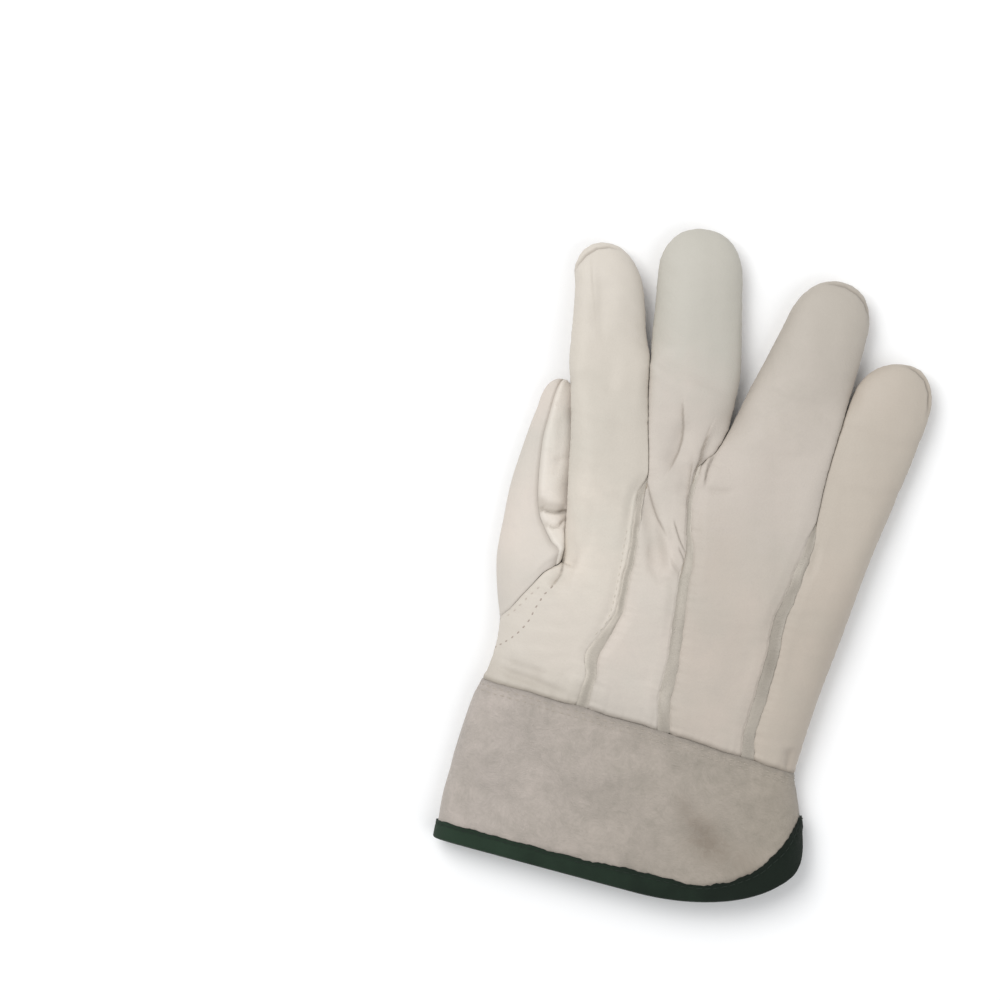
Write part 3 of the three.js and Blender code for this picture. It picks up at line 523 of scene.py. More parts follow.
def strip_rows(name, step):
    finger = FINGERS[name]
    straight = np.arange(WRIST_ROW, finger.tip_from, step)
    straight = np.sort(np.concatenate([[WRIST_ROW + 0.15, WRIST_ROW + 0.35], straight]))
    turn = np.sin(np.linspace(0, math.pi / 2, TIP_ROWS))
    return np.concatenate([straight, mix(finger.tip_from, finger.tip[1], turn)])


print("Rows of the index strip:", len(strip_rows("index", 0.6)))

# %% [markdown]
# On the back, each side of a strip rolls into its seam. Where two fingers lie side by side the seam is a
# pinched furrow instead. The palm has only the furrows between the fingers, with bend creases across it. A
# furrow value is kept for each point, with which the materials paint shade into the seams and creases.

# %% The edges and the middle of a strip
PALM_CREASES = (  # half width, depth, points
    (2.2, 0.8, ((-52, 4), (-30, 8), (-5, 6), (22, 12), (50, 10))),
    (2.0, 0.7, ((-46, -6), (-28, -14), (-16, -30), (-12, -52))),
    (1.8, 0.5, ((-20, -4), (4, -10), (30, -8), (58, -14))),
    (1.8, 0.6, ((-62, 62), (-52, 61), (-40, 63))), (1.8, 0.6, ((-34, 64), (-20, 62), (-4, 64))),
    (1.8, 0.6, ((6, 62), (20, 60), (38, 62))), (1.8, 0.5, ((48, 50), (58, 48), (70, 50))),
    (1.6, 0.5, ((-68, 90), (-58, 88), (-46, 90))), (1.6, 0.5, ((-38, 100), (-24, 98), (-10, 100))),
    (1.6, 0.5, ((12, 96), (26, 94), (40, 96))), (1.6, 0.4, ((52, 80), (62, 78), (72, 80))),
)


def edge_of_strip(name, is_back, column, y, distance, s, depth, furrow):
    """Depth and furrow with those of one side added: column 0 is the left side, -1 the right"""
    seam = FINGERS[name].right_seam if column else FINGERS[name].left_seam
    share = finger_share(seam, y) if seam else np.ones_like(y)
    edge = eased(distance, 0.3, 1.3)
    if name == "index" and column == -1:
        ridge = smooth((y + 32) / 6) * smooth((CROTCH[seam] - 4 - y) / 6)
        depth = depth - 0.4 * ridge * bell(distance - 0.7, 1) * is_back
    if name == "index" and column == 0:
        in_hole = (y > THUMB_HOLE[0]) & (y < THUMB_HOLE[1])
        share, edge = np.where(in_hole, 0, share), np.where(in_hole, rolled(distance, 0.35), edge)
    # The furrow values returned here are painted shade along the seams, darkest by the middle strip's pinched
    # edge
    sewn = mix(0.6, 0.05, touching(seam, y)) * bell(distance, 0.6) + puckered(distance, s, 0.16, 2.2)
    if not is_back:
        return depth + share * sewn, np.maximum(furrow, 0.6 * share * np.exp(-distance / 0.5))
    depth = depth + (1 - share) * (edge + puckered(distance, s, 0.2, 3)) + share * sewn
    pinch = smooth((y - 2) / 12) * smooth((43 - y) / 6) if name == "middle" and column == -1 else 0
    shown = mix((0.25 if column else 0.4) + 0.45 * pinch, 0.5, share) * (1 - 0.6 * touching(seam, y))
    return depth, np.maximum(furrow, shown * np.exp(-distance / (0.5 + 0.4 * pinch)))


def palm_softness(x, y):
    depth = 0.3 + 0.3 * dents(y, x)
    for half_width, deep, line in PALM_CREASES:
        depth = depth + deep * valley(x, y, line, half_width)
    return np.maximum(depth, 0)


def back_softness(x, y):
    soft = 0.45 * dents(x, y) + 0.05 * small_dents(x, y)
    return soft + 0.05 * wrinkles(x * 0.3, y) * smooth(dents(y, x) + 0.2)


print(len(PALM_CREASES), "creases in the palm")

# %% A strip with its details
def strip_grid(name, is_back, columns, step):
    """A strip's finished surface, with how deep each point lies in a furrow, and its flat coordinates"""
    y, across = np.meshgrid(strip_rows(name, step), crowded(columns), indexing="ij")
    grid = strip_surface(name, y, across, is_back)
    out = directions(grid, flip=not is_back)
    narrowing = strip_edges(name, y, is_back)[2]
    x, hem = grid[..., 0], grid[..., 1] - grid[:1, :, 1]
    depth = rolled(hem, 0.36, 1.4) + puckered(hem, x, 0.25, 3.5)
    # Painted shade along the wrist seam
    furrow = 0.75 * bell(hem, 1.4)
    from_left, from_right = run_across(grid)
    inner = np.minimum(from_left, from_right)
    for column, distance in ((0, from_left), (-1, from_right)):
        s = run_along(grid, column) + 37 * column
        depth, furrow = edge_of_strip(name, is_back, column, y, distance, s, depth, furrow)
    softness = (back_softness if is_back else palm_softness)(x, grid[..., 1])
    depth = depth + softness * smooth(inner / 7) * smooth(hem / 8)
    if is_back:
        pressed, dark = creases(name, x, grid[..., 1])
        depth, furrow = depth + pressed * smooth(inner / 0.8), np.maximum(furrow, dark)
    grid = grid - out * (depth * smooth(narrowing * 4))[..., None]
    if not is_back:
        grid[..., 2] = np.maximum(grid[..., 2], 0)
    flat = np.stack([from_left - from_right[:, :1] / 2, y], axis=-1)
    return SimpleNamespace(grid=grid, furrow=furrow, flat=flat, wall=smooth(np.minimum(inner, hem + 2) / 6))


print("Deepest furrow of the little strip:", round(float(strip_grid("little", True, 8, 4).furrow.max()), 2))

# %% [markdown]
# A grid becomes a mesh by joining neighbouring points into quads. Points that fall on the same spot, at a
# fingertip or where two grids share a seam, are welded by rounding their places and keeping one of each.
# The furrow value is stored on every point, because the materials paint shade there, and the flat
# coordinates become the UV map.

# %% Meshes from grids
def add_object(name, data):
    made = bpy.data.objects.new(name, data)
    bpy.context.scene.collection.objects.link(made)
    return made


def store(mesh, name, values):
    """Keeps a number or a direction on every point of a mesh"""
    kind, field = ("FLOAT_VECTOR", "vector") if values.ndim == 2 else ("FLOAT", "value")
    mesh.attributes.new(name, kind, "POINT").data.foreach_set(field, values.ravel())


def piece_from_grids(name, grids, flip=False):
    faces, count = [], 0
    values = {"grid": [], "flat": [], "furrow": [], "stain": [], "wall": []}
    for part in grids:
        rows, columns = part.grid.shape[:2]
        part.stain = getattr(part, "stain", np.zeros((rows, columns)))
        part.wall = getattr(part, "wall", np.ones((rows, columns)))
        for key in values:
            values[key].append(getattr(part, key).reshape(rows * columns, -1))
        index = count + np.arange(rows * columns).reshape(rows, columns)
        count += rows * columns
        corners = (index[:-1, :-1], index[:-1, 1:], index[1:, 1:], index[1:, :-1])
        quads = np.stack([corner.ravel() for corner in corners], axis=-1)
        faces.append(quads[:, ::-1] if flip else quads)
    points, flats, *rest = (np.concatenate(parts) for parts in values.values())
    _, first, same = np.unique(np.round(points, 4), axis=0, return_index=True, return_inverse=True)
    same = same.reshape(-1)
    furrows, stains, walls = (value[first, 0] for value in rest)
    loops, kept = [], []
    for face in np.concatenate(faces):
        corners = {}
        for vertex in face:
            corners.setdefault(same[vertex], vertex)
        if len(corners) > 2:
            kept.append(list(corners))
            loops.extend(corners.values())
    mesh = bpy.data.meshes.new(name)
    mesh.from_pydata(in_frame(points[first]), [], kept)
    mesh.uv_layers.new(name="flat").uv.foreach_set("vector", (flats[loops] / UV_UNIT).ravel())
    store(mesh, "furrow", furrows)
    store(mesh, "stain", stains)
    mesh.validate()
    piece = add_object(name, mesh)
    group, tenths = piece.vertex_groups.new(name="wall"), (walls * 10).round().astype(int)
    for value in np.unique(tenths):
        group.add(np.flatnonzero(tenths == value).tolist(), value / 10, "REPLACE")
    return piece


def made_plain(piece):
    """Turns a piece with its modifiers into plain mesh"""
    graph = bpy.context.evaluated_depsgraph_get()
    evaluated = piece.evaluated_get(graph)
    mesh = bpy.data.meshes.new_from_object(evaluated, preserve_all_data_layers=True, depsgraph=graph)
    mesh.name = piece.name
    piece.modifiers.clear()
    piece.vertex_groups.clear()
    piece.data = mesh
    return piece


def settled(piece, sharp=40):
    """Plain mesh, smooth but for edges sharper than an angle"""
    made_plain(piece).data.shade_smooth()
    piece.data.set_sharp_from_angle(angle=math.radians(sharp))
    return piece


# %% Walls and names
def with_wall(piece, thickness, outside, inside):
    """Makes a surface as thick as its hide, inwards and thin at the seams, with its flesh side inside"""
    piece.data.materials.append(outside)
    piece.data.materials.append(inside)
    wall = piece.modifiers.new("wall", "SOLIDIFY")
    wall.thickness, wall.offset, wall.material_offset = thickness / 1000, -1, 1
    wall.vertex_group, wall.thickness_vertex_group = "wall", 0.15
    return settled(piece)


def dress(piece, node):
    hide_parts(node)
    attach(piece, "root")
    places = np.array([vertex.co for vertex in piece.data.vertices])
    size = np.round((places.max(0) - places.min(0)) * 1000, 1)
    print(f"{piece.name}: {len(piece.data.polygons)} faces, {size} mm")


# %% [markdown]
# Finishes
#
# Shader maths is easier to read as maths. `Signal` wraps an output socket so that `1 - mask` or `a * b` add
# their own Math nodes, and `Finish` makes every other kind of node with one call.

# %% Writing materials as expressions
class Signal:
    def __init__(self, finish, socket):
        self.finish, self.socket = finish, socket

    def maths(self, operation, first, second=0.0):
        return self.finish.node("Math", {"operation": operation}, {0: first, 1: second})[0]

    def __add__(self, other):
        return self.maths("ADD", self, other)

    def __sub__(self, other):
        return self.maths("SUBTRACT", self, other)

    def __rsub__(self, other):
        return self.maths("SUBTRACT", other, self)

    def __mul__(self, other):
        return self.maths("MULTIPLY", self, other)

    def __truediv__(self, other):
        return self.maths("DIVIDE", self, other)

    def power(self, other):
        return self.maths("POWER", self, other)

    def sine(self):
        return self.maths("SINE", self)

    def held(self):
        """Kept between 0 and 1"""
        return self.maths("MINIMUM", self.maths("MAXIMUM", self, 0.0), 1.0)

    __radd__, __rmul__ = __add__, __mul__


class Finish:
    """One material, whose nodes are made by node(kind, settings, sockets)"""

    def __init__(self, name):
        self.material = bpy.data.materials.new(name)
        self.material.use_nodes = True
        self.tree = self.material.node_tree
        self.tree.nodes.clear()

    def node(self, kind, settings=(), sockets=()):
        made = self.tree.nodes.new("ShaderNode" + kind)
        for key, value in dict(settings).items():
            if key == "stops":
                for k, (position, colour) in enumerate(value):
                    stop = made.color_ramp.elements[k] if k < 2 else made.color_ramp.elements.new(position)
                    stop.position, stop.color = position, (*colour, 1)
            else:
                setattr(made, key, value)
        for key, value in dict(sockets).items():
            if isinstance(value, Signal):
                self.tree.links.new(value.socket, made.inputs[key])
            else:
                made.inputs[key].default_value = value
        return _Outputs(self, made)

    def blend(self, share, first, second):
        """A mix of two colours"""
        sockets = {0: share, 6: first if isinstance(first, Signal) else (*first, 1),
                   7: second if isinstance(second, Signal) else (*second, 1)}
        return self.node("Mix", {"data_type": "RGBA"}, sockets)[2]

    def noise(self, place, scale, detail=2.0, rough=0.5, distortion=0.0, output="Fac"):
        sockets = {"Vector": place, "Scale": scale, "Detail": detail, "Roughness": rough}
        return self.node("TexNoise", (), {**sockets, "Distortion": distortion})[output]

    def millimetres(self):
        """The place on the object in millimetres"""
        place = self.node("TexCoord")["Object"]
        return self.node("VectorMath", {"operation": "SCALE"}, {0: place, "Scale": 1000.0})[0]

    def axis(self, vector, letter):
        return self.node("SeparateXYZ", (), {0: vector})[letter]

    def stored(self, name):
        """A number that the mesh keeps on its points"""
        return self.node("Attribute", {"attribute_name": name})["Fac"]

    def mapped(self, place, **sockets):
        return self.node("Mapping", (), {"Vector": place, **sockets})[0]

    def done(self, colour, roughness, height, bump, **constants):
        normal = self.node("Bump", (), {"Height": height, "Distance": bump, "Strength": 1.0})["Normal"]
        sockets = {"Base Color": colour, "Roughness": roughness, "Normal": normal}
        sockets.update({key.replace("_", " "): value for key, value in constants.items()})
        shader = self.node("BsdfPrincipled", (), sockets)[0]
        self.node("OutputMaterial", (), {"Surface": shader})
        return self.material


class _Outputs:
    def __init__(self, finish, made):
        self.finish, self.made = finish, made

    def __getitem__(self, key):
        return Signal(self.finish, self.made.outputs[key])


def channel(value):
    """One channel of a given colour, 0 to 255, as Blender counts light"""
    share = value / 255
    return share / 12.92 if share <= 0.04045 else ((share + 0.055) / 1.055) ** 2.4


def tinted(tone, *factors):
    """A tone times one factor, or one for each of its channels"""
    return tuple(channel(c * k) for c, k in zip(tone, factors * (3 // len(factors))))


print("Mid grey counts as", np.round(tinted((128, 128, 128), 1), 3))

# %% [markdown]
# Grain leather
#
# Full-grain hide is fine pebbles with darker pores, over soft cloudy changes of tone where the dye took
# unevenly. The clouds only change the colour, the pebbles only change the height and the gloss. Both are
# read from Object coordinates in millimetres, so they keep one scale on every piece.

# %% Leather of the hand
def leather(name, tone, *shades):
    """`shades` are other tones from one height up the hand to another: start, end, tone"""
    finish = Finish(name)
    mm, furrow = finish.millimetres(), finish.stored("furrow")
    clouds = finish.noise(mm, 0.035, 3.0, 0.55)
    blotches = finish.noise(mm, 0.14, 4.0, 0.6, 0.4)
    pores = finish.noise(mm, 3.2, 3.0, 0.6)
    wrinkled = finish.noise(finish.mapped(mm, Scale=(0.34, 0.46, 0.34)), 1.0, 4.0, 0.62, 0.8)
    cells = {"Vector": mm, "Scale": 1.25, "Smoothness": 0.6}
    pebbles = finish.node("TexVoronoi", {"feature": "SMOOTH_F1"}, cells)["Distance"]
    cool, warm = tinted(tone, 0.97, 0.974, 0.967), tinted(tone, 1.018, 1.004, 0.995)
    pore_and_shade_tone = tinted(tone, 0.6, 0.57, 0.53)
    colour = finish.blend(((clouds - 0.5) * 2.6 + 0.5).held(), cool, warm)
    colour = finish.blend(((blotches - 0.5) * 2.5).held() * 0.5, colour, tinted(tone, 0.94))
    for start, end, tint in shades:
        rise = ((finish.axis(mm, "Y") - start) / (end - start) + (blotches - 0.5) * 0.8).held()
        colour = finish.blend(rise * rise * (3 - rise * 2) * 0.7, colour, tinted(tint, 1))
    # Painted shade: the furrow value darkens the leather in its seams and creases, where shade falls
    colour = finish.blend(furrow.power(1.2) * 0.75, colour, pore_and_shade_tone)
    # The pores are the hide's own darker colour
    colour = finish.blend(((pores - 0.56) * 4).held() * 0.18, colour, pore_and_shade_tone)
    height = wrinkled * 0.34 - pebbles * 0.16 + pores * 0.1
    roughness = 0.56 + pores * 0.12 + furrow * 0.15 - clouds * 0.08
    return finish.done(colour, roughness, height, 0.00028,
                       Specular_IOR_Level=0.42, Sheen_Weight=0.08, Sheen_Roughness=0.4)


# The tones darken from the index to the little strip: partly the hide's own tone, partly painted fall-off of
# light
back_leather = {
    "index": leather("index leather", (206, 198.5, 188.5), (8, 34, (193, 186, 175)),
                     (60, 110, (203, 195.5, 185.5)), (-8, -36, (197, 189.5, 179.5)),
                     # This last shade is painted shade beside the wrist seam
                     (-48, -66, (176, 168.5, 157.5))),
    "middle": leather("middle leather", (197, 189, 180.5), (-15, 60, (184, 176, 167)),
                      # The last shade, from -50 down to the wrist, is painted shade beside the wrist seam
                      (50, 100, (182, 180, 170)), (-50, -66, (181, 174, 165))),
    "ring": leather("ring leather", (183.5, 175, 165.5), (0, 34, (187, 178.5, 169.5)),
                    (40, 115, (172, 165, 154.5))),
    "little": leather("little leather", (178.5, 169.5, 158.5), (-10, 20, (182.5, 173, 161))),
}
palm_leather = leather("palm leather", (195, 186, 175))
# Painted light: both halves are one leather, the inner lighter against the index finger's shade, the outer
# darker
thumb_leather = {"outer": leather("outer thumb leather", (200, 193, 185)),
                 "inner": leather("inner thumb leather", (214, 208, 200))}
print("Grain leathers:", len(back_leather) + len(thumb_leather) + 1)

# %% [markdown]
# Split leather
#
# The cuff and the flesh side of every piece have no grain, only fibres raised by brushing. They lie in
# changing directions, so the nap is made of stretched noise whose direction is bent by a slower noise, and
# a little sheen lights the fibres at grazing angles.

# %% Split leather of the cuff and the inside
def split_leather(name, tone, contrast=1.0, shaded=None, far_tone=None):
    """`far_tone` is the tone at the little-finger side, where it differs from that at the thumb side"""
    finish = Finish(name)
    mm, furrow, stain = finish.millimetres(), finish.stored("furrow"), finish.stored("stain")
    bend = finish.noise(mm, 0.05, 1.0, output="Color")
    pushed = finish.node("VectorMath", {"operation": "MULTIPLY_ADD"}, {0: bend, 1: (26, 26, 26), 2: mm})[0]
    stretched = finish.mapped(pushed, Rotation=(0, 0, 0.9), Scale=(0.5, 1.5, 1.0))
    nap = finish.noise(stretched, 1.1, 5.0, 0.68, 0.5)
    fibres = finish.noise(stretched, 4.5, 3.0, 0.7)
    clouds = finish.noise(mm, 0.06, 4.0, 0.6)
    patches = finish.noise(mm, 0.22, 3.0, 0.6, 0.6)
    light, dark = tinted(tone, 1.07, 1.06, 1.055), tinted(tone, 0.9, 0.9, 0.885)
    if far_tone:
        side = (finish.axis(mm, "X") / 110 + 0.5).held()
        light = finish.blend(side, light, tinted(far_tone, 1.07, 1.06, 1.055))
        dark = finish.blend(side, dark, tinted(far_tone, 0.9, 0.9, 0.885))
    uneven = (clouds - 0.5) * 1.5 + (patches - 0.5) * 1.1 + (nap - 0.5) * 1.2
    colour = finish.blend((0.5 + uneven * contrast).held(), dark, light)
    colour = finish.blend(((fibres - 0.6) * 5).held() * 0.3 * contrast, colour, tinted(tone, 0.74))
    colour = finish.blend((stain * (patches * 3 - 0.5)).held() * 0.68, colour, tinted(tone, 0.73, 0.7, 0.65))
    if shaded:
        across = finish.stored("across")
        left, middle, right = (finish.stored(f"shade_{part}") for part in ("left", "middle", "right"))
        leftness, rightness = (across * -1.6 - 0.4).held(), (across * 1.6 - 0.4).held()
        share = middle + (left - middle) * leftness + (right - middle) * rightness
        colour = finish.blend((share + (clouds - 0.5) * 0.35).held(), colour, tinted(shaded, 1))
    # Painted shade: the furrow value darkens the split leather in its seams and stitch furrows
    colour = finish.blend(furrow.power(1.3) * 0.6, colour, tinted(tone, 0.6))
    height = nap * 0.6 + fibres * 0.25 + patches * 0.3
    return finish.done(colour, 0.88 + fibres * 0.1, height, 0.0005,
                       Specular_IOR_Level=0.2, Sheen_Weight=0.22, Sheen_Roughness=0.55)


# Painted light: the cuff darkens towards the little-finger side, partly its own tone, partly the light's
# fall-off
cuff_split = split_leather("cuff split leather", (173.5, 165.5, 159), 0.85, far_tone=(158, 150, 139.5))
flesh_side = split_leather("flesh side", (186, 173, 156), 0.8)
seam_split = split_leather("seam strip leather", (208, 201, 191), 0.5, shaded=(134, 127, 117))
print("Split leathers:", cuff_split.name, flesh_side.name, seam_split.name)

# %% [markdown]
# Woven tape and thread
#
# The hem's tape is a plain weave of dark green yarn. Its flat coordinates run along and across the tape, so
# two sine waves make the over and under of the yarns.

# %% Tape and thread
YARN = 0.62


def woven_tape(name, tone):
    finish = Finish(name)
    mm, furrow = finish.millimetres(), finish.stored("furrow")
    flat = finish.node("UVMap", {"uv_map": "flat"})["UV"]
    along, across = finish.axis(flat, "X") * UV_UNIT, finish.axis(flat, "Y") * UV_UNIT
    turns = 2 * math.pi / YARN
    weave = (along * turns).sine() * (across * turns * 1.15).sine()
    ribs = (along * turns * 2).sine()
    fuzz = finish.noise(mm, 2.4, 4.0, 0.7)
    clouds = finish.noise(mm, 0.09, 3.0)
    # Painted light: lighter at the thumb side and darker at the little-finger side, as the light falls off
    light_falloff = 0.42 - finish.axis(mm, "X") * 0.0078
    share = (light_falloff + weave * 0.28 + (fuzz - 0.5) * 0.5 + (clouds - 0.5) * 0.9).held()
    colour = finish.blend(share, tinted(tone, 0.72), tinted(tone, 1.45, 1.42, 1.43))
    # Painted shade: the furrow value darkens the tape along its inner edge and its stitches
    colour = finish.blend(furrow * 0.6, colour, tinted(tone, 0.45))
    height = weave * 0.35 + ribs * 0.1 + fuzz * 0.35
    return finish.done(colour, 0.78 + fuzz * 0.15, height, 0.00022,
                       Specular_IOR_Level=0.2, Sheen_Weight=0.06, Sheen_Roughness=0.45)


def thread(name, *tone):
    finish = Finish(name)
    fuzz = finish.noise(finish.millimetres(), 5.0, 2.0, 0.6)
    colour = finish.blend(fuzz, tinted(tone, 0.86), tinted(tone, 1.08))
    return finish.done(colour, 0.6 + fuzz * 0.2, fuzz, 0.00008, Specular_IOR_Level=0.35)


green_tape = woven_tape("green tape", (28, 41, 31))
cream_thread = thread("cream thread", 174, 165, 153)
pale_thread = thread("pale thread", 203, 195, 183)
grey_thread = thread("grey thread", 170, 157, 146)
faint_thread = thread("faint thread", 196, 186, 175)
green_thread = thread("green thread", 26, 38, 30)
print("Tape and threads:", green_tape.name, "and 5 threads")

# %% [markdown]
# The four back strips and the palm
#
# The palm is one piece of hide for the hand and the undersides of all four fingers, so its four grids are
# welded along the lines between the fingers. Each back strip is a piece of its own. The middle one has the
# finest grid, because most of the folds are on it.

# %% Back strips
backs = {}
for name in FINGERS:
    fine = (96, 0.5) if name == "middle" else (72, 0.6)
    backs[name] = piece_from_grids(f"{name}_back", [strip_grid(name, True, *fine)])
    with_wall(backs[name], LEATHER, back_leather[name], flesh_side)
    dress(backs[name], f"back_{name}")

# %% Palm
palm = piece_from_grids("palm_leather", [strip_grid(name, False, 38, 0.85) for name in FINGERS], flip=True)
with_wall(palm, LEATHER, palm_leather, flesh_side)
dress(palm, "palm")

# %% [markdown]
# The thumb
#
# The thumb is a tube of two pieces set into a slanting hole at the side of the hand. It runs along the hand
# and lies partly under the index finger. Its sections go round from the outer edge over the back to the
# inner edge, and the seam between its two pieces wanders over the back.

# %% The thumb's surface
THUMB = table("t left_x left_y right_x right_y back belly side seam",
              (0.00, -69.0, -36.5, -51.6, -8, 17, 0.3, 8.4, 0.93),
              (0.10, -71.5, -30, -52.5, -2, 16.5, 0.3, 7.8, 0.92),
              (0.20, -74.8, -19, -53.2, 3, 16, 0.3, 7.2, 0.815),
              (0.32, -77.0, -10, -54.0, 8, 15, 0.3, 6.8, 0.70),
              (0.44, -78.3, 0, -54.4, 14, 14, 0.3, 6.4, 0.565),
              (0.56, -78.8, 12, -54.6, 20, 13.2, 0.3, 6.2, 0.475),
              (0.70, -78.5, 26, -55.4, 30, 12.8, 0.4, 6, 0.38),
              (0.85, -77.7, 40, -57.6, 40, 12.4, 0.5, 5.9, 0.32),
              (1.00, -76.6, 50, -60.6, 50, 12, 0.7, 5.8, 0.34))
THUMB_TIP, THUMB_SETTLED, THUMB_TUCK, THUMB_SEAM_TURN = (-69, 62.7), 0.4, (0.9, 2.4), 0.004
THUMB_ROOT_SHIFT = (-0.03, 0.02)


def thumb_surface(t, turn):
    """`t` from the hole (0) to the tip (2), `turn` in radians round the thumb"""
    across = (1 - np.cos(turn)) / 2
    is_back = np.sin(turn) >= 0
    section = np.minimum(1, t)
    x = mix(THUMB.left_x(section), THUMB.right_x(section), across)
    y = mix(THUMB.left_y(section), THUMB.right_y(section), across)
    side = THUMB.side(section)
    level = np.where(is_back, THUMB.back(section), THUMB.belly(section))
    z = side + (level - side) * np.abs(np.sin(turn))
    from_hole = 1 - smooth(t / THUMB_SETTLED)
    hole_y = mix(THUMB_HOLE[0], THUMB_HOLE[1], across)
    hole_x = INDEX_LEFT.x(hole_y)
    x = x + (hole_x - mix(THUMB.left_x(0), THUMB.right_x(0), across) + THUMB_ROOT_SHIFT[0]) * from_hole
    y = y + (hole_y - mix(THUMB.left_y(0), THUMB.right_y(0), across) + THUMB_ROOT_SHIFT[1]) * from_hole
    hole_z = np.where(is_back, hand_height(hole_x, hole_y, True), hand_height(hole_x, hole_y, False))
    hole_z = hole_z + INDEX_TILT.lift(hole_y)
    z = mix(z, hole_z, from_hole)
    tucked = across**2 * smooth(t / 0.1) * smooth((0.6 - t) / 0.2)
    x, z = x + THUMB_TUCK[0] * tucked, z + THUMB_TUCK[1] * tucked
    beyond = np.clip(t - 1, 0, 1)
    narrowing = (1 - beyond**TIP_POWER) ** (1 / TIP_POWER)
    x = mix(THUMB_TIP[0], x, narrowing)
    z = mix((THUMB.back(1) + THUMB.belly(1)) / 2, z, narrowing)
    y = np.where(t > 1, mix(THUMB.left_y(1), THUMB_TIP[1], beyond), y)
    return np.stack([x, y, z], axis=-1), narrowing


print("Thumb", round(float(THUMB_TIP[1] - THUMB.left_y(0)), 1), "mm long from its hole")

# %% The halves of the thumb
THUMB_CREASES = (  # half width, depth, points
    (0.8, 1.3, ((-67, 11.7), (-62, 10.3), (-58, 10.5), (-53, 12))),
    (0.8, 1.1, ((-65.5, 8), (-63, 6), (-60, 5), (-57.5, 4.8), (-55.5, 5.8), (-54, 8))),
    (2.6, 1.3, ((-70, 14.5), (-62, 12.4), (-54, 12.8))),
    (1.6, 0.4, ((-69, 34), (-63, 31), (-57, 33))),
    (2.0, 0.5, ((-66, 50), (-64, 38), (-62, 24))),
)


def thumb_folds(x, y):
    depth = np.zeros_like(x)
    for half_width, deep, line in THUMB_CREASES:
        along, aside = beside_line(x, y, line)
        depth += deep * smooth(along / 0.2) * smooth((1 - along) / 0.15 + 0.4) * bell(aside, half_width)
    return depth


def thumb_half(name, is_outer):
    t = np.concatenate([np.linspace(0, 1, 120), 1 + np.sin(np.linspace(0, math.pi / 2, 26))[1:]])
    seam = np.arccos(1 - 2 * THUMB.seam(np.minimum(1, t)))[:, None]
    t, column = np.meshgrid(t, crowded(44 if is_outer else 30), indexing="ij")
    column = np.arccos(1 - 2 * column) / math.pi
    if is_outer:
        turn = mix(THUMB_SEAM_TURN - seam, seam - THUMB_SEAM_TURN, column)
    else:
        turn = mix(seam + THUMB_SEAM_TURN, 2 * math.pi - seam - THUMB_SEAM_TURN, column)
    grid, narrowing = thumb_surface(t, turn)
    out = directions(grid)
    start, end = run_across(grid)
    root = run_along(grid, grid.shape[1] // 2)
    distance = np.minimum(start, end)
    s = run_along(grid, 0) + (0 if is_outer else 50)
    depth = rolled(distance, 0.5, 0.8) + puckered(distance, s, 0.18, 2.4) + rolled(root, 0.3, 0.7)
    x, y, facing = grid[..., 0], grid[..., 1], smooth(out[..., 2] * 3)
    soft = 0.3 * dents(x + 60, y) * smooth(distance / 5)
    pressed = np.zeros_like(x) if is_outer else thumb_folds(x, y) * facing
    depth = (depth + (soft + pressed) * smooth(distance / 1.5)) * smooth(narrowing * 4)
    grid = grid - out * depth[..., None]
    grid[..., 2] = np.maximum(grid[..., 2], 0.05)
    seam_shade = 0.5 * np.exp(-distance / (0.9 if is_outer else 0.5))
    # Painted shade in the deepest creases as well as at the seams
    furrow = np.maximum(seam_shade, np.clip(pressed - 0.5, 0, 1) * 0.7)
    flat = np.stack([start - end[:, :1] / 2, t * 60], axis=-1)
    return piece_from_grids(name, [SimpleNamespace(grid=grid, furrow=furrow, flat=flat)])


# %% Thumb pieces
for half, is_outer in (("outer", True), ("inner", False)):
    thumb = thumb_half(f"thumb_{half}_leather", is_outer)
    with_wall(thumb, LEATHER, thumb_leather[half], flesh_side)
    dress(thumb, f"thumb_{half}")

# %% [markdown]
# The cuff and its binding
#
# The cuff is one band of split leather round the wrist, slit at the little-finger side, where its two flaps
# have large rounded corners. A column of points leaves the wrist seam straight and meets the hem at a right
# angle, so the tape's width comes out even round the corner as well.

# %% The cuff's surface
CUFF = table("y left right side reach crown",
             (-128, -71.2, 78, 6.6, 9, 2.6), (-120, -71.8, 77.4, 6.7, 9.3, 2.8),
             (-108, -72.9, 75.4, 6.9, 9.8, 3.2), (-95, -73, 71.8, 7.1, 10.5, 3.5),
             (-88, -72.7, 69.5, 7.3, 11, 3.6), (-80, -72.2, 66.6, 7.5, 12, 3.6),
             (-72, -71.5, 63.1, 7.8, 12.5, 3.5), (-66, -70.6, 61, 8, 13, 3.5), (-61, -69.6, 60.2, 8, 13, 3.5))
HEM_Y, SLIT_TOP, SLIT_HALF, CORNER_AROUND, CORNER_ALONG = -127, -86, 3, 67, 37
BINDING_WIDTH, TAPE_EASE, TAPE_STITCHES = 7.5, 0.25, 0.8
TAPE_WIDTH = table("run width",  # along the hem from the slit, over the hand (+) and under it (-)
                   (-190, 6.3), (-14, 6.8), (0, 4.2), (2.5, 4.3), (5, 4.9), (9, 6.8), (13, 8.5), (18, 9.8),
                   (25, 10.3), (30, 9.2), (36, 8.3), (44, 7.4), (52, 6.4), (60, 5.8), (68, 6.1), (78, 7.4),
                   (90, 7.6), (102, 7.0), (112, 6.4), (190, 6.3))
HEM_LIFT, HEM_LIFT_FROM, HEM_LIFT_OVER, NO_LIFT_AT = 1.5, 0.6, 0.25, 20
COLUMN_PULL, WRIST_SEAM = 0.8, -0.1


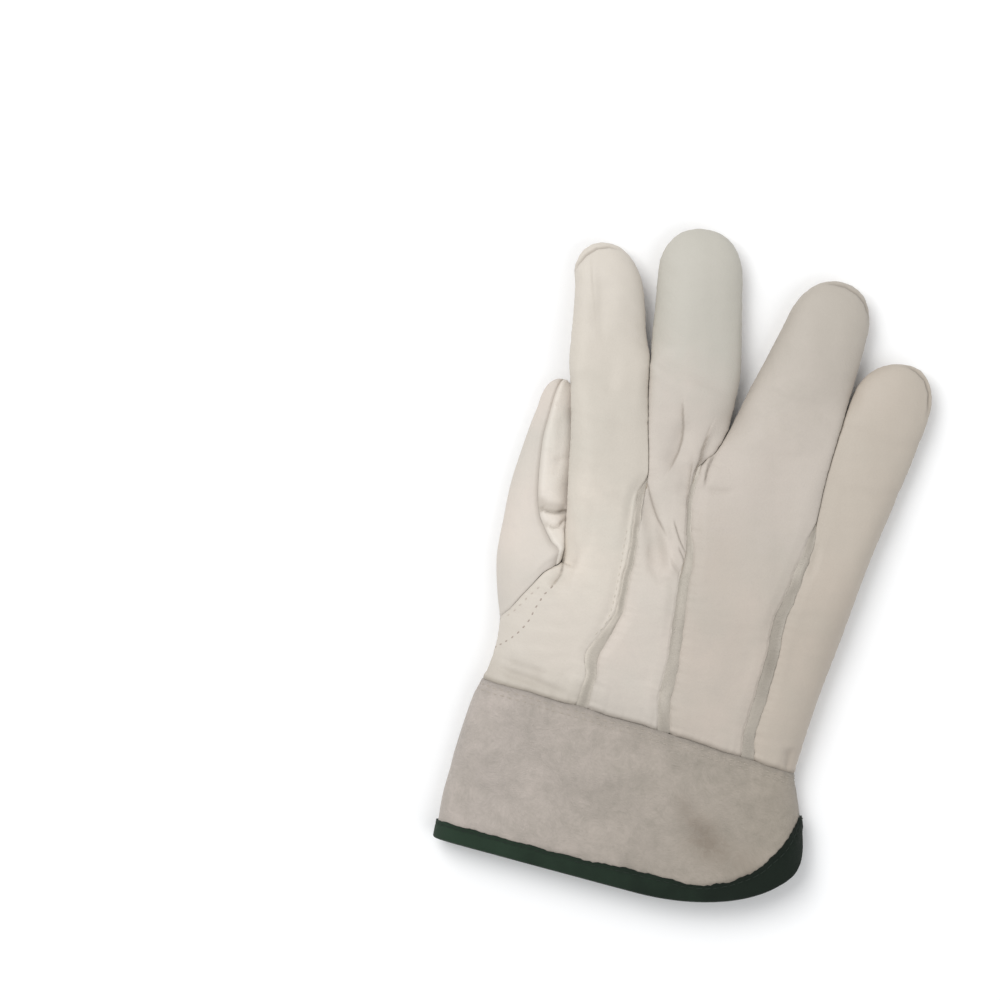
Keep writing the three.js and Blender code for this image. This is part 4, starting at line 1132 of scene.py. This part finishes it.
def cuff_half_round(y):
    quarter = math.pi / 4 * (CUFF.reach(y) + CUFF.side(y))
    return CUFF.right(y) - CUFF.left(y) - 2 * CUFF.reach(y) + 2 * quarter


def cuff_surface(share, y, back):
    """`share` runs round half the cuff from the little finger (0); `back` is 1 over the hand, -1 under it"""
    reach, side = CUFF.reach(y), CUFF.side(y)
    quarter = math.pi / 4 * (reach + side)
    run = np.maximum(0, np.minimum(share, 1 - share)) * cuff_half_round(y)
    angle = np.minimum(1, run / quarter) * math.pi / 2
    inwards = reach * (1 - np.cos(angle)) + np.maximum(0, run - quarter)
    x = np.where(share < 0.5, CUFF.right(y) - inwards, CUFF.left(y) + inwards)
    wide = CUFF.right(y) - CUFF.left(y)
    across = np.clip(np.abs((2 * x - CUFF.left(y) - CUFF.right(y)) / wide), 0, 1)
    rise = side * np.sin(angle)
    z = np.where(back > 0, side + rise + CUFF.crown(y) * (1 - across**2), side - rise)
    return np.stack([x, y, z], axis=-1)


def hem_line(columns):
    """Where the columns end along one flap's hem: distance round, y, and the way out of it"""
    stations = []
    for a in np.linspace(0, math.pi / 2, 7):
        place = (SLIT_HALF * math.sin(a), SLIT_TOP - SLIT_HALF * (1 - math.cos(a)))
        stations.append((*place, -math.sin(a), -math.cos(a)))
    for angle in np.linspace(0, math.pi / 2, columns)[1:]:
        out = np.array([-math.cos(angle) / CORNER_AROUND, -math.sin(angle) / CORNER_ALONG])
        out /= np.linalg.norm(out)
        stations.append((SLIT_HALF + CORNER_AROUND * (1 - math.cos(angle)),
                         HEM_Y + CORNER_ALONG * (1 - math.sin(angle)), *out))
    total, start = cuff_half_round(HEM_Y), SLIT_HALF + CORNER_AROUND
    stations += [(mix(start, total, share), HEM_Y, 0, -1) for share in np.linspace(0, 1, columns)[1:]]
    return np.array(stations)


def cuff_columns(columns=70):
    """Every column round the cuff, as arrays: over the back from the slit to the thumb side, and home"""
    line = hem_line(columns)
    runs = np.concatenate([[0], np.cumsum(np.hypot(*np.diff(line[:, :2], axis=0).T))])
    share = runs / runs[-1]
    order = list(range(len(line))) + list(range(len(line) - 2, 0, -1))
    back = np.array([1] * len(line) + [-1] * (len(line) - 2))
    start = cuff_surface(share, np.full(len(line), float(WRIST_ROW)), 1)
    wrist = wrist_line(start[:, 0]) - WRIST_SEAM
    values = dict(zip(("share", "wrist", "around", "y", "out_x", "out_y", "run"),
                      np.column_stack([share, wrist, line, runs])[order].T))
    values["run"] = np.where(back > 0, values["run"], -values["run"])
    return SimpleNamespace(**values, back=back)


def cuff_at(columns, t, height):
    """Points `t` of the way down the columns, a height off the cuff's outer face, and the way out of it"""
    pull = COLUMN_PULL * (columns.wrist - columns.y)
    blend = t * t * (3 - 2 * t)
    leave, arrive = pull * t * (1 - t) ** 2, pull * t * t * (1 - t)
    total = cuff_half_round(columns.y)
    share = mix(columns.share, columns.around / total, blend) - arrive * columns.out_x / total
    y = mix(columns.wrist, columns.y, blend) - leave - arrive * columns.out_y
    point = cuff_surface(share, y, columns.back)
    step = 0.0005
    middle = np.clip(share, step, 1 - step)
    around = cuff_surface(middle + step, y, columns.back) - cuff_surface(middle - step, y, columns.back)
    arm = cuff_surface(middle, y - 0.05, columns.back) - cuff_surface(middle, y, columns.back)
    out = np.cross(around, arm)
    out /= np.linalg.norm(out, axis=-1, keepdims=True)
    out *= columns.back[:, None]
    out = np.where((share < step)[..., None], (1, 0, 0), out)
    out = np.where((share > 1 - step)[..., None], (-1, 0, 0), out)
    point[..., 2] += HEM_LIFT * smooth((t - HEM_LIFT_FROM) / HEM_LIFT_OVER) * (1 - point[..., 2] / NO_LIFT_AT)
    return point + out * np.asarray(height)[..., None], out


columns = cuff_columns()
near_hem = cuff_at(columns, 0.9, np.zeros(1))[0] - cuff_at(columns, 1.0, np.zeros(1))[0]
per_mm = 0.1 / np.linalg.norm(near_hem, axis=-1)
print("Hem", round(float(np.ptp(columns.run)), 1), "mm round")

# %% [markdown]
# The cuff's top edge rolls into the wrist seam and two rows of stitches press furrows into it. A smudge
# across the back of the cuff is a line in plan too, with a width and a strength at each of its points.

# %% Cuff
WRIST_ROWS_OF_STITCHES = (2.4, 4.6)


def closed_round(values):
    """Repeats the first column after the last, so that the band joins"""
    return np.concatenate([values, values[:, :1]], axis=1)


def runs_down(grid):
    """How far below the first row each point lies, along the surface"""
    steps = np.linalg.norm(np.diff(grid, axis=0), axis=-1)
    return np.concatenate([np.zeros((1, grid.shape[1])), np.cumsum(steps, axis=0)])


SMUDGE = np.array([  # x, y, half width, strength
    (19.4, -88.0, 4.0, 0.3), (24.9, -93.1, 5.5, 0.55), (30.5, -98.3, 7.0, 0.9), (35.8, -102.6, 6.5, 0.85),
    (44.0, -105.4, 6.0, 0.5), (52.7, -107.2, 7.0, 0.35)])
cuff_waves = waves(23, 7, 26, 60)
rows = np.concatenate([[0, 0.006, 0.014, 0.024], np.linspace(0.036, 0.96, 62), [0.975, 0.99, 1.0]])[:, None]
grid, cuff_out = cuff_at(columns, rows, np.zeros((len(rows), 1)))
below = runs_down(grid)
soft = 0.35 * cuff_waves(grid[..., 0] + 40 * columns.back, grid[..., 1])
soft = soft * smooth(below / 8) * smooth((1 - rows) / 0.12)
first_row, second_row = WRIST_ROWS_OF_STITCHES
topstitch = 0.3 * bell(below - first_row, 0.8) + 0.25 * bell(below - second_row, 0.8)
depth = rolled(below, 0.36, 1.3) + puckered(below, grid[..., 0], 0.28, 4) + soft + topstitch
along, aside = beside_line(grid[..., 0], grid[..., 1], SMUDGE[:, :2])
half_width, strength = (np.interp(along, np.linspace(0, 1, len(SMUDGE)), SMUDGE[:, k]) for k in (2, 3))
stain = strength * bell(aside, half_width) * (columns.back > 0)
stain = stain * smooth((along + 0.15) / 0.15) * smooth((1.15 - along) / 0.15)
cuff_grid = grid - cuff_out * depth[..., None]
cuff_grid[..., 2] = np.maximum(cuff_grid[..., 2], 0.0)
# Painted shade beside the wrist seam and in the stitch furrows
furrow = np.maximum(0.65 * bell(below, 1.5), topstitch * 0.6)
flat = np.stack([np.broadcast_to(columns.run, below.shape), below], axis=-1)
values = {"grid": cuff_grid, "furrow": furrow, "flat": flat, "stain": stain}
cuff_band = SimpleNamespace(**{key: closed_round(value) for key, value in values.items()})
cuff = piece_from_grids("cuff_split_leather", [cuff_band])
with_wall(cuff, SPLIT_LEATHER, cuff_split, cuff_split)
dress(cuff, "cuff")

# %% [markdown]
# The tape is folded over the hem and sewn through both of its legs. Its section is a thin hook round the
# leather's edge: down the outside, round the nose and back up the inside. Its inner edge is not perfectly
# even, because it is fed by hand, and each stitch presses it in a little.

# %% Binding
def binding_section(count=12):
    """Distance in from the hem, a share of the tape's width (beyond the hem, mm), and height off the cuff"""
    outside, inside = TAPE_EASE, -SPLIT_LEATHER - TAPE_EASE
    middle, half = (outside + inside) / 2, (outside - inside) / 2 + TAPE
    leg = np.linspace(1, 0, count)
    turn = np.linspace(0, math.pi, 9)[1:-1]
    nose = [(-(GAP + TAPE) * math.sin(a), middle + half * math.cos(a)) for a in turn]
    lining = [(-GAP * math.sin(a), middle + (half - TAPE) * math.cos(a)) for a in turn[::-1]]
    edge_out = [(1.0, outside), (1.012, outside + 0.25), (1.015, outside + TAPE * 0.55),
                (1.006, outside + TAPE * 0.9)]
    edge_in = [(share, outside + inside - height) for share, height in edge_out[::-1]]
    down = edge_out + [(s, outside + TAPE) for s in leg] + nose + [(s, inside - TAPE) for s in leg[::-1]]
    up = [(s, inside) for s in leg[1:]] + lining + [(s, outside) for s in leg[::-1][:-1]]
    return np.array(down + edge_in + up)


def binding():
    section = binding_section()
    share, height, run = section[:, :1], section[:, 1:], columns.run
    wobble = ripples(17, 7, 22)(run) * 0.2 + ripples(19, 3, 5)(run) * 0.14
    width = TAPE_WIDTH.width(run) + np.where(share > 0.5, wobble * (share - 0.5) * 2, 0)
    inwards = np.where(share > 0, share * width, share)
    grid, out = cuff_at(columns, 1 - inwards * per_mm, np.broadcast_to(height, (len(section), len(run))))
    from_middle = height + SPLIT_LEATHER / 2
    outer = np.abs(from_middle) > SPLIT_LEATHER / 2 + TAPE_EASE + TAPE * 0.5
    pressed = 0.22 * bell(share - TAPE_STITCHES, 0.09)
    pressed = pressed + 0.13 * ripples(29, 2.8, 4.2)(run) * bell(share - 0.85, 0.25)
    grid = grid - out * (np.sign(from_middle) * pressed * outer)[..., None]
    grid[..., 2] = np.maximum(grid[..., 2], 0.0)
    # Painted shade along the tape's inner edge and its line of stitches
    edge = 0.5 * smooth((share - 0.84) / 0.16) + 0.4 * smooth((share - 0.985) * 40)
    furrow = np.maximum(0.35 * bell(share - TAPE_STITCHES, 0.06), edge) * np.ones_like(width)
    lengths = np.where(share > 0, share * BINDING_WIDTH, share)[:, 0]
    around = np.concatenate([[0], np.cumsum(np.hypot(np.diff(lengths), np.diff(height[:, 0])))])
    flat = np.stack(np.broadcast_arrays(np.broadcast_to(run, width.shape), around[:, None]), axis=-1)
    parts = [np.concatenate([closed_round(v), closed_round(v)[:1]]) for v in (grid, furrow, flat)]
    return SimpleNamespace(grid=parts[0], furrow=parts[1], flat=parts[2])


tape = piece_from_grids("hem_tape", [binding()], flip=True)
tape.data.materials.append(green_tape)
settled(tape, 60)
dress(tape, "cuff_binding")

# %% [markdown]
# What follows a path
#
# The raw strips of leather that lie in the back seams, and every row of stitches, follow a path over the
# surface. Geometry Nodes are made for that: the path is an input, and one small tree lays ribbon or
# stitches along any of them. Python could do it too, but a tree shows its sizes as named inputs that a user
# can drag.

# %% A small helper to build and run node trees
class Tree:
    """A Geometry Nodes tree that works along the edges of a piece"""

    def __init__(self, name, **inputs):
        self.group = bpy.data.node_groups.new(name, "GeometryNodeTree")
        face = self.group.interface
        face.new_socket("Geometry", in_out="INPUT", socket_type="NodeSocketGeometry")
        for key, value in inputs.items():
            kind = "Int" if isinstance(value, int) else "Float"
            face.new_socket(key, in_out="INPUT", socket_type="NodeSocket" + kind).default_value = value
        face.new_socket("Material", in_out="INPUT", socket_type="NodeSocketMaterial")
        face.new_socket("Geometry", in_out="OUTPUT", socket_type="NodeSocketGeometry")
        self.start = self.group.nodes.new("NodeGroupInput")

    def __getitem__(self, key):
        return self.start.outputs[key]

    def node(self, kind, settings=(), sockets=()):
        """A node's outputs. Without a kind of its own, the node is a Geometry Node"""
        made = self.group.nodes.new(kind if "Node" in kind else "GeometryNode" + kind)
        for key, value in dict(settings).items():
            setattr(made, key, value)
        for key, value in dict(sockets).items():
            if isinstance(value, bpy.types.NodeSocket):
                self.group.links.new(value, made.inputs[key])
            else:
                made.inputs[key].default_value = value
        return made.outputs

    def times(self, value, factor):
        return self.node("ShaderNodeMath", {"operation": "MULTIPLY"}, {0: value, 1: factor})[0]

    def vector(self, x=0.0, y=0.0, z=0.0):
        return self.node("ShaderNodeCombineXYZ", (), {0: x, 1: y, 2: z})[0]

    def path(self):
        """The edges of the piece as a curve"""
        return self.node("MeshToCurve", (), {"Mesh": self["Geometry"]})["Curve"]

    def stored(self, name, kind="FLOAT"):
        return self.node("InputNamedAttribute", {"data_type": kind}, {"Name": name})["Attribute"]

    def circle(self, points, radius):
        sockets = {"Resolution": points, "Radius": radius}
        return self.node("CurvePrimitiveCircle", {"mode": "RADIUS"}, sockets)["Curve"]

    def swept(self, curve, profile, scale=1.0):
        sockets = {"Curve": curve, "Profile Curve": profile, "Scale": scale, "Fill Caps": True}
        return self.node("CurveToMesh", (), sockets)["Mesh"]

    def finish(self, geometry):
        real = self.node("RealizeInstances", (), {"Geometry": geometry})["Geometry"]
        shaded = self.node("SetShadeSmooth", (), {"Geometry": real})["Geometry"]
        sockets = {"Geometry": shaded, "Material": self["Material"]}
        painted = self.node("SetMaterial", (), sockets)["Geometry"]
        end = self.group.nodes.new("NodeGroupOutput")
        self.group.links.new(painted, end.inputs[0])
        print(f"Tree {self.group.name}: {len(self.group.nodes)} nodes")

    def run(self, piece, **values):
        """Runs the tree on a piece with its inputs set by their names, and leaves plain mesh"""
        modifier = piece.modifiers.new("tree", "NODES")
        modifier.node_group = self.group
        for item in self.group.interface.items_tree:
            if item.in_out == "INPUT" and item.name in values:
                modifier[item.identifier] = values[item.name]
        return made_plain(piece)


def path_piece(name, paths, **attributes):
    """Polylines, each a list of points in mm, as one object of edges with values on its points"""
    edges, count = [], 0
    for path in paths:
        edges += [(count + k, count + k + 1) for k in range(len(path) - 1)]
        count += len(path)
    mesh = bpy.data.meshes.new(name)
    mesh.from_pydata(in_frame(np.concatenate(paths)), edges, [])
    for key, values in attributes.items():
        store(mesh, key, np.concatenate(values))
    return add_object(name, mesh)


# %% [markdown]
# Each back seam shows the cut strip of leather that was sewn in with it. It is a flat oval ribbon, as wide
# as the gap between its two neighbours at every point, with a ragged edge. A value across the ribbon lets
# its material be darker at one side, where a neighbour shades it.

# %% The tree of the seam strips
ribbon = Tree("seam ribbon", Thickness=0.3, Lean=0.1, Ragged=0.0001)
curve = ribbon.node("SetCurveNormal", {"mode": "Z_UP"}, {"Curve": ribbon.path()})["Curve"]
curve = ribbon.node("SetCurveTilt", (), {"Curve": curve, "Tilt": ribbon["Lean"]})["Curve"]
across = ribbon.node("ShaderNodeSeparateXYZ", (), {0: ribbon.node("InputPosition")["Position"]})["X"]
profile = ribbon.node("StoreNamedAttribute", {"data_type": "FLOAT", "domain": "POINT"},
                      {"Geometry": ribbon.circle(20, 1.0), "Name": "across", "Value": across})["Geometry"]
oval = ribbon.vector(1.0, ribbon["Thickness"], 1.0)
profile = ribbon.node("Transform", (), {"Geometry": profile, "Scale": oval})["Geometry"]
band = ribbon.swept(curve, profile, ribbon.stored("half_width"))
rough_edge = ribbon.node("ShaderNodeTexNoise", (), {"Scale": 420.0, "Detail": 3.0})["Color"]
sockets = {0: rough_edge, 1: (0.5, 0.5, 0.5)}
centred = ribbon.node("ShaderNodeVectorMath", {"operation": "SUBTRACT"}, sockets)[0]
push = ribbon.node("ShaderNodeVectorMath", {"operation": "SCALE"}, {0: centred, "Scale": ribbon["Ragged"]})[0]
ribbon.finish(ribbon.node("SetPosition", (), {"Geometry": band, "Offset": push})["Geometry"])

# %% Seam strips
BAND_SUNK, BAND_TUCKED = 0.3, 0.35
# The strips' darkness is partly the raw leather's own darker tone and partly painted shade from their
# neighbours
BAND_SHADE = {  # how dark the strip is at its left edge, its middle and its right edge
    "index": table("y left middle right",
                   (-62, .5, .7, .4), (-58, .36, .64, .3), (-50, .1, .54, .22), (-42, 0, .4, .4),
                   (-34, .2, .46, .55), (-26, 0, .3, .8), (-18, 0, .6, .2), (-2, 0, .55, .2),
                   (6, 0, .55, .1), (14, 0, .62, .15), (22, .4, .46, .2), (35, .5, .6, .4)),
    "middle": table("y left middle right",
                    (-62, .6, .72, .6), (-58, .5, .62, .5), (-50, .46, .36, .54), (-42, .44, .46, .52),
                    (-26, .6, .4, .56), (-10, .66, .38, .5), (6, .66, .36, .42), (14, .74, .5, .2),
                    (21, .8, .5, .1), (34, .7, .4, .1), (40, .3, .2, .2), (47, .2, .2, .2)),
    "ring": table("y left middle right",
                  (-62, .7, .75, .6), (-50, .54, .62, .64), (-34, .62, .72, .64), (-26, .72, .82, .72),
                  (-18, .74, .74, .54), (-2, .72, .7, .58), (6, .48, .72, .66), (14, .34, .38, .74),
                  (22, .46, .66, .58), (35, .9, .84, .4)),
}
for seam, right in (("index", "middle"), ("middle", "ring"), ("ring", "little")):
    y = np.arange(WRIST_ROW + 0.5, CROTCH[seam] + 2, 0.6)
    y = np.concatenate([[WRIST_ROW - 0.2, WRIST_ROW + 0.2], y])
    left_edge, right_edge = strip_surface(seam, y, 1.0, True), strip_surface(right, y, 0.0, True)
    path = (left_edge + right_edge) / 2 + (0, 0, -BAND_SUNK)
    path[:, 2] += 0.05 * ripples(31, 5, 11)(y) - rolled(y - WRIST_ROW, 0.36, 1.4)
    half_width = np.linalg.norm(right_edge - left_edge, axis=-1) / 2 + BAND_TUCKED
    half_width += 0.1 * ripples(37, 4, 10)(y + 9 * CROTCH[seam]) * smooth(half_width - 0.6)
    shades = {f"shade_{side}": [getattr(BAND_SHADE[seam], side)(y)] for side in ("left", "middle", "right")}
    strip = path_piece(f"{seam}_seam_strip", [path], half_width=[half_width / 1000], **shades)
    ribbon.run(strip, Thickness=0.08, Lean=0.0, Ragged=0.0002, Material=seam_split)
    dress(strip, f"seam_strip_{seam}")

# %% [markdown]
# A stitch is a short arch of thread whose ends dive into the leather. The tree lays one at every step of
# its path, turned along the path and stood on the leather's own direction. A little play in its turn keeps
# the row from looking like a machine's drawing.

# %% The tree of the stitches
stitching = Tree("stitches", Pitch=0.003, Length=0.002, Thread=0.0002, Arch=0.0003, Play=0.1, Seed=1)
sockets = {"Curve": stitching.path(), "Length": stitching["Pitch"]}
steps = stitching.node("ResampleCurve", {"mode": "LENGTH"}, sockets)["Curve"]
tangent = stitching.node("InputTangent")["Tangent"]
turned = stitching.node("FunctionNodeAlignRotationToVector", {"axis": "X"}, {"Vector": tangent})["Rotation"]
turned = stitching.node("FunctionNodeAlignRotationToVector", {"axis": "Z", "pivot_axis": "X"},
                        {"Rotation": turned, "Vector": stitching.stored("up", "FLOAT_VECTOR")})["Rotation"]
sockets = {2: stitching.times(stitching["Play"], -1.0), 3: stitching["Play"], "Seed": stitching["Seed"]}
yaw = stitching.node("FunctionNodeRandomValue", {"data_type": "FLOAT"}, sockets)[1]
sockets = {"Rotation": turned, "Rotate By": stitching.vector(z=yaw)}
yawed = stitching.node("FunctionNodeRotateRotation", {"rotation_space": "LOCAL"}, sockets)["Rotation"]
sunk = stitching.times(stitching["Thread"], -1.5)
start, end = (stitching.vector(stitching.times(stitching["Length"], k), z=sunk) for k in (-0.5, 0.5))
top = stitching.vector(z=stitching.times(stitching["Arch"], 2.0))
sockets = {"Resolution": 8, "Start": start, "Middle": top, "End": end}
arch = stitching.node("CurveQuadraticBezier", (), sockets)["Curve"]
stitch = stitching.swept(arch, stitching.circle(7, stitching["Thread"]))
sockets = {"Points": steps, "Instance": stitch, "Rotation": yawed}
stitching.finish(stitching.node("InstanceOnPoints", (), sockets)["Instances"])

# %% [markdown]
# A row of stitches starts as a line in plan. It is dropped on the leather below it, and each of its points
# keeps the direction that the leather faces there. Two rows hold the thumb, the one beside its seam much
# fainter, and one runs along the ridge of the index strip.

# %% Stitches
def over(piece, line, step=0.8):
    """A line in plan laid on a piece: its points and the direction out of the leather at each"""
    tree = BVHTree.FromObject(piece, bpy.context.evaluated_depsgraph_get())
    line = np.array(line, float)
    runs = np.concatenate([[0], np.cumsum(np.hypot(*np.diff(line, axis=0).T))])
    at = np.linspace(0, runs[-1], int(runs[-1] / step) + 1)
    curve_x, curve_y = smooth_through(runs, line[:, 0]), smooth_through(runs, line[:, 1])
    points, ups = [], []
    for x, y in zip(curve_x(at), curve_y(at)):
        place, up = tree.ray_cast(Vector(in_frame((x, y, 60))), Vector((0, 0, -1)))[:2]
        if place is not None:
            points.append(np.array(place) * 1000 + PLAN_CENTRE)
            ups.append(np.array(up))
    return np.array(points), np.array(ups)


def sew(name, rows, material, slot, **sizes):
    points, ups = zip(*rows)
    piece = path_piece(name, points, up=ups)
    stitching.run(piece, Material=material, **sizes)
    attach(piece, "root")
    print(f"{name}: {len(piece.data.polygons)} faces")
    return piece


THUMB_STITCHES = (  # piece, thread, path
    ("thumb_seam_stitches", faint_thread,
     ((-57.5, -20.5), (-59, -22.8), (-60.7, -25.5), (-62.3, -28.3), (-64, -31.2), (-66, -34))),
    ("thumb_hole_stitches", grey_thread,
     ((-52.5, -19), (-54, -21.5), (-55, -24), (-56.3, -28), (-57.7, -34), (-59, -37), (-61, -40.5),
      (-63, -43), (-65.5, -45.7), (-67.6, -47.8))),
)
RIDGE_STITCHES = ((-29.4, 10), (-29, 5), (-28, -5), (-27.3, -15), (-27.2, -22), (-28.2, -28), (-30.5, -32))
for name, yarn, line in THUMB_STITCHES:
    sew(name, [over(backs["index"], line)], yarn, "leather",
        Pitch=0.003, Length=0.0015, Thread=0.00029, Arch=0.00016, Play=0.2, Seed=4)
sew("index_seam_stitches", [over(backs["index"], RIDGE_STITCHES)], pale_thread, "leather",
    Pitch=0.0028, Length=0.0018, Thread=0.00019, Arch=0.00016, Play=0.08, Seed=9)

# %% Stitches round the cuff
def closed_line(line, facing):
    return np.concatenate([line, line[:1]]), np.concatenate([facing, facing[:1]])


def on_cuff(away, lift=0.05):
    """A closed line round the cuff a distance below the wrist seam"""
    runs, line, ups = runs_down(cuff_grid), [], []
    for k in range(cuff_grid.shape[1]):
        line.append([np.interp(away, runs[:, k], cuff_grid[:, k, axis]) for axis in range(3)])
        ups.append(cuff_out[np.searchsorted(runs[:, k], away), k])
    return closed_line(np.array(line) + np.array(ups) * lift, np.array(ups))


sew("wrist_stitches", [on_cuff(away) for away in WRIST_ROWS_OF_STITCHES], cream_thread, "split_leather",
    Pitch=0.0031, Length=0.0019, Thread=0.00018, Arch=0.00012, Play=0.07, Seed=12)


def on_tape(outwards, sunk=0.12):
    """The line of stitches on the outer (1) or the inner (-1) leg of the tape"""
    height = outwards * (SPLIT_LEATHER / 2 + TAPE_EASE + TAPE - sunk) - SPLIT_LEATHER / 2
    away = TAPE_STITCHES * (TAPE_WIDTH.width(columns.run) * per_mm)[None, :]
    line, facing = cuff_at(columns, 1 - away, np.full((1, len(columns.run)), height))
    return closed_line(line[0], facing[0] * outwards)


sew("hem_stitches", [on_tape(1), on_tape(-1)], green_thread, "binding_tape",
    Pitch=0.0033, Length=0.0026, Thread=0.00018, Arch=0.00016, Play=0.06, Seed=15)

# %% [markdown]
# Floor, light and camera
#
# The glove lies on a plain pale floor and is seen from straight above. A long lens keeps the view as flat
# as it is in the photograph. The photograph's frame is about 400 mm wide. The glove sits right of its
# middle and leans by 15 degrees.

# %% Floor
FLOOR_HALF, FLOOR_Z = 3, -0.0003
floor_mesh = bpy.data.meshes.new("floor")
corners = [(x * FLOOR_HALF, y * FLOOR_HALF, FLOOR_Z) for x, y in ((-1, -1), (1, -1), (1, 1), (-1, 1))]
floor_mesh.from_pydata(corners, [], [(0, 1, 2, 3)])
floor = add_object("floor", floor_mesh)
floor_finish = Finish("pale floor")
place = floor_finish.node("TexCoord")["Object"]
tone = floor_finish.blend(floor_finish.noise(place, 3.0), (0.9, 0.9, 0.9), (0.93, 0.93, 0.93))
floor_mesh.materials.append(floor_finish.done(tone, 0.9, floor_finish.noise(place, 400.0), 0.00002))
print("Floor", 2 * FLOOR_HALF, "m wide")

# %% Light
def soft_light(name, where, size, energy):
    """A square lamp that shines on the glove"""
    data = bpy.data.lights.new(name, "AREA")
    data.shape, data.size, data.energy = "SQUARE", size, energy
    lamp = add_object(name, data)
    lamp.location = where
    lamp.rotation_euler = (-Vector(where)).to_track_quat("-Z", "Y").to_euler()
    print(f"{name} light: {energy} W over {size} m")


soft_light("key", (-1.1, 0.65, 1.85), 1.5, 34)
soft_light("fill", (1.3, -0.5, 1.8), 1.8, 12)
world = bpy.data.worlds.new("studio")
world.use_nodes = True
sky = world.node_tree.nodes["Background"].inputs
sky["Color"].default_value, sky["Strength"].default_value = (0.97, 0.985, 1.0, 1), 0.56
bpy.context.scene.world = world
bpy.context.scene.view_settings.view_transform = "Standard"

# %% Camera
PHOTO_WIDTH, LEAN, DISTANCE = 0.4, math.radians(15), 1.9
photo_centre = in_frame((-81.2, 9.3, 10))
camera_data = bpy.data.cameras.new("camera")
camera_data.sensor_width = 36
camera_data.lens = camera_data.sensor_width * DISTANCE / PHOTO_WIDTH
camera = add_object("camera", camera_data)
camera.location = photo_centre + (0, 0, DISTANCE)
camera.rotation_euler = (0, 0, LEAN)
bpy.context.scene.camera = camera
print("Camera", DISTANCE, "m up, lens", round(camera_data.lens), "mm")
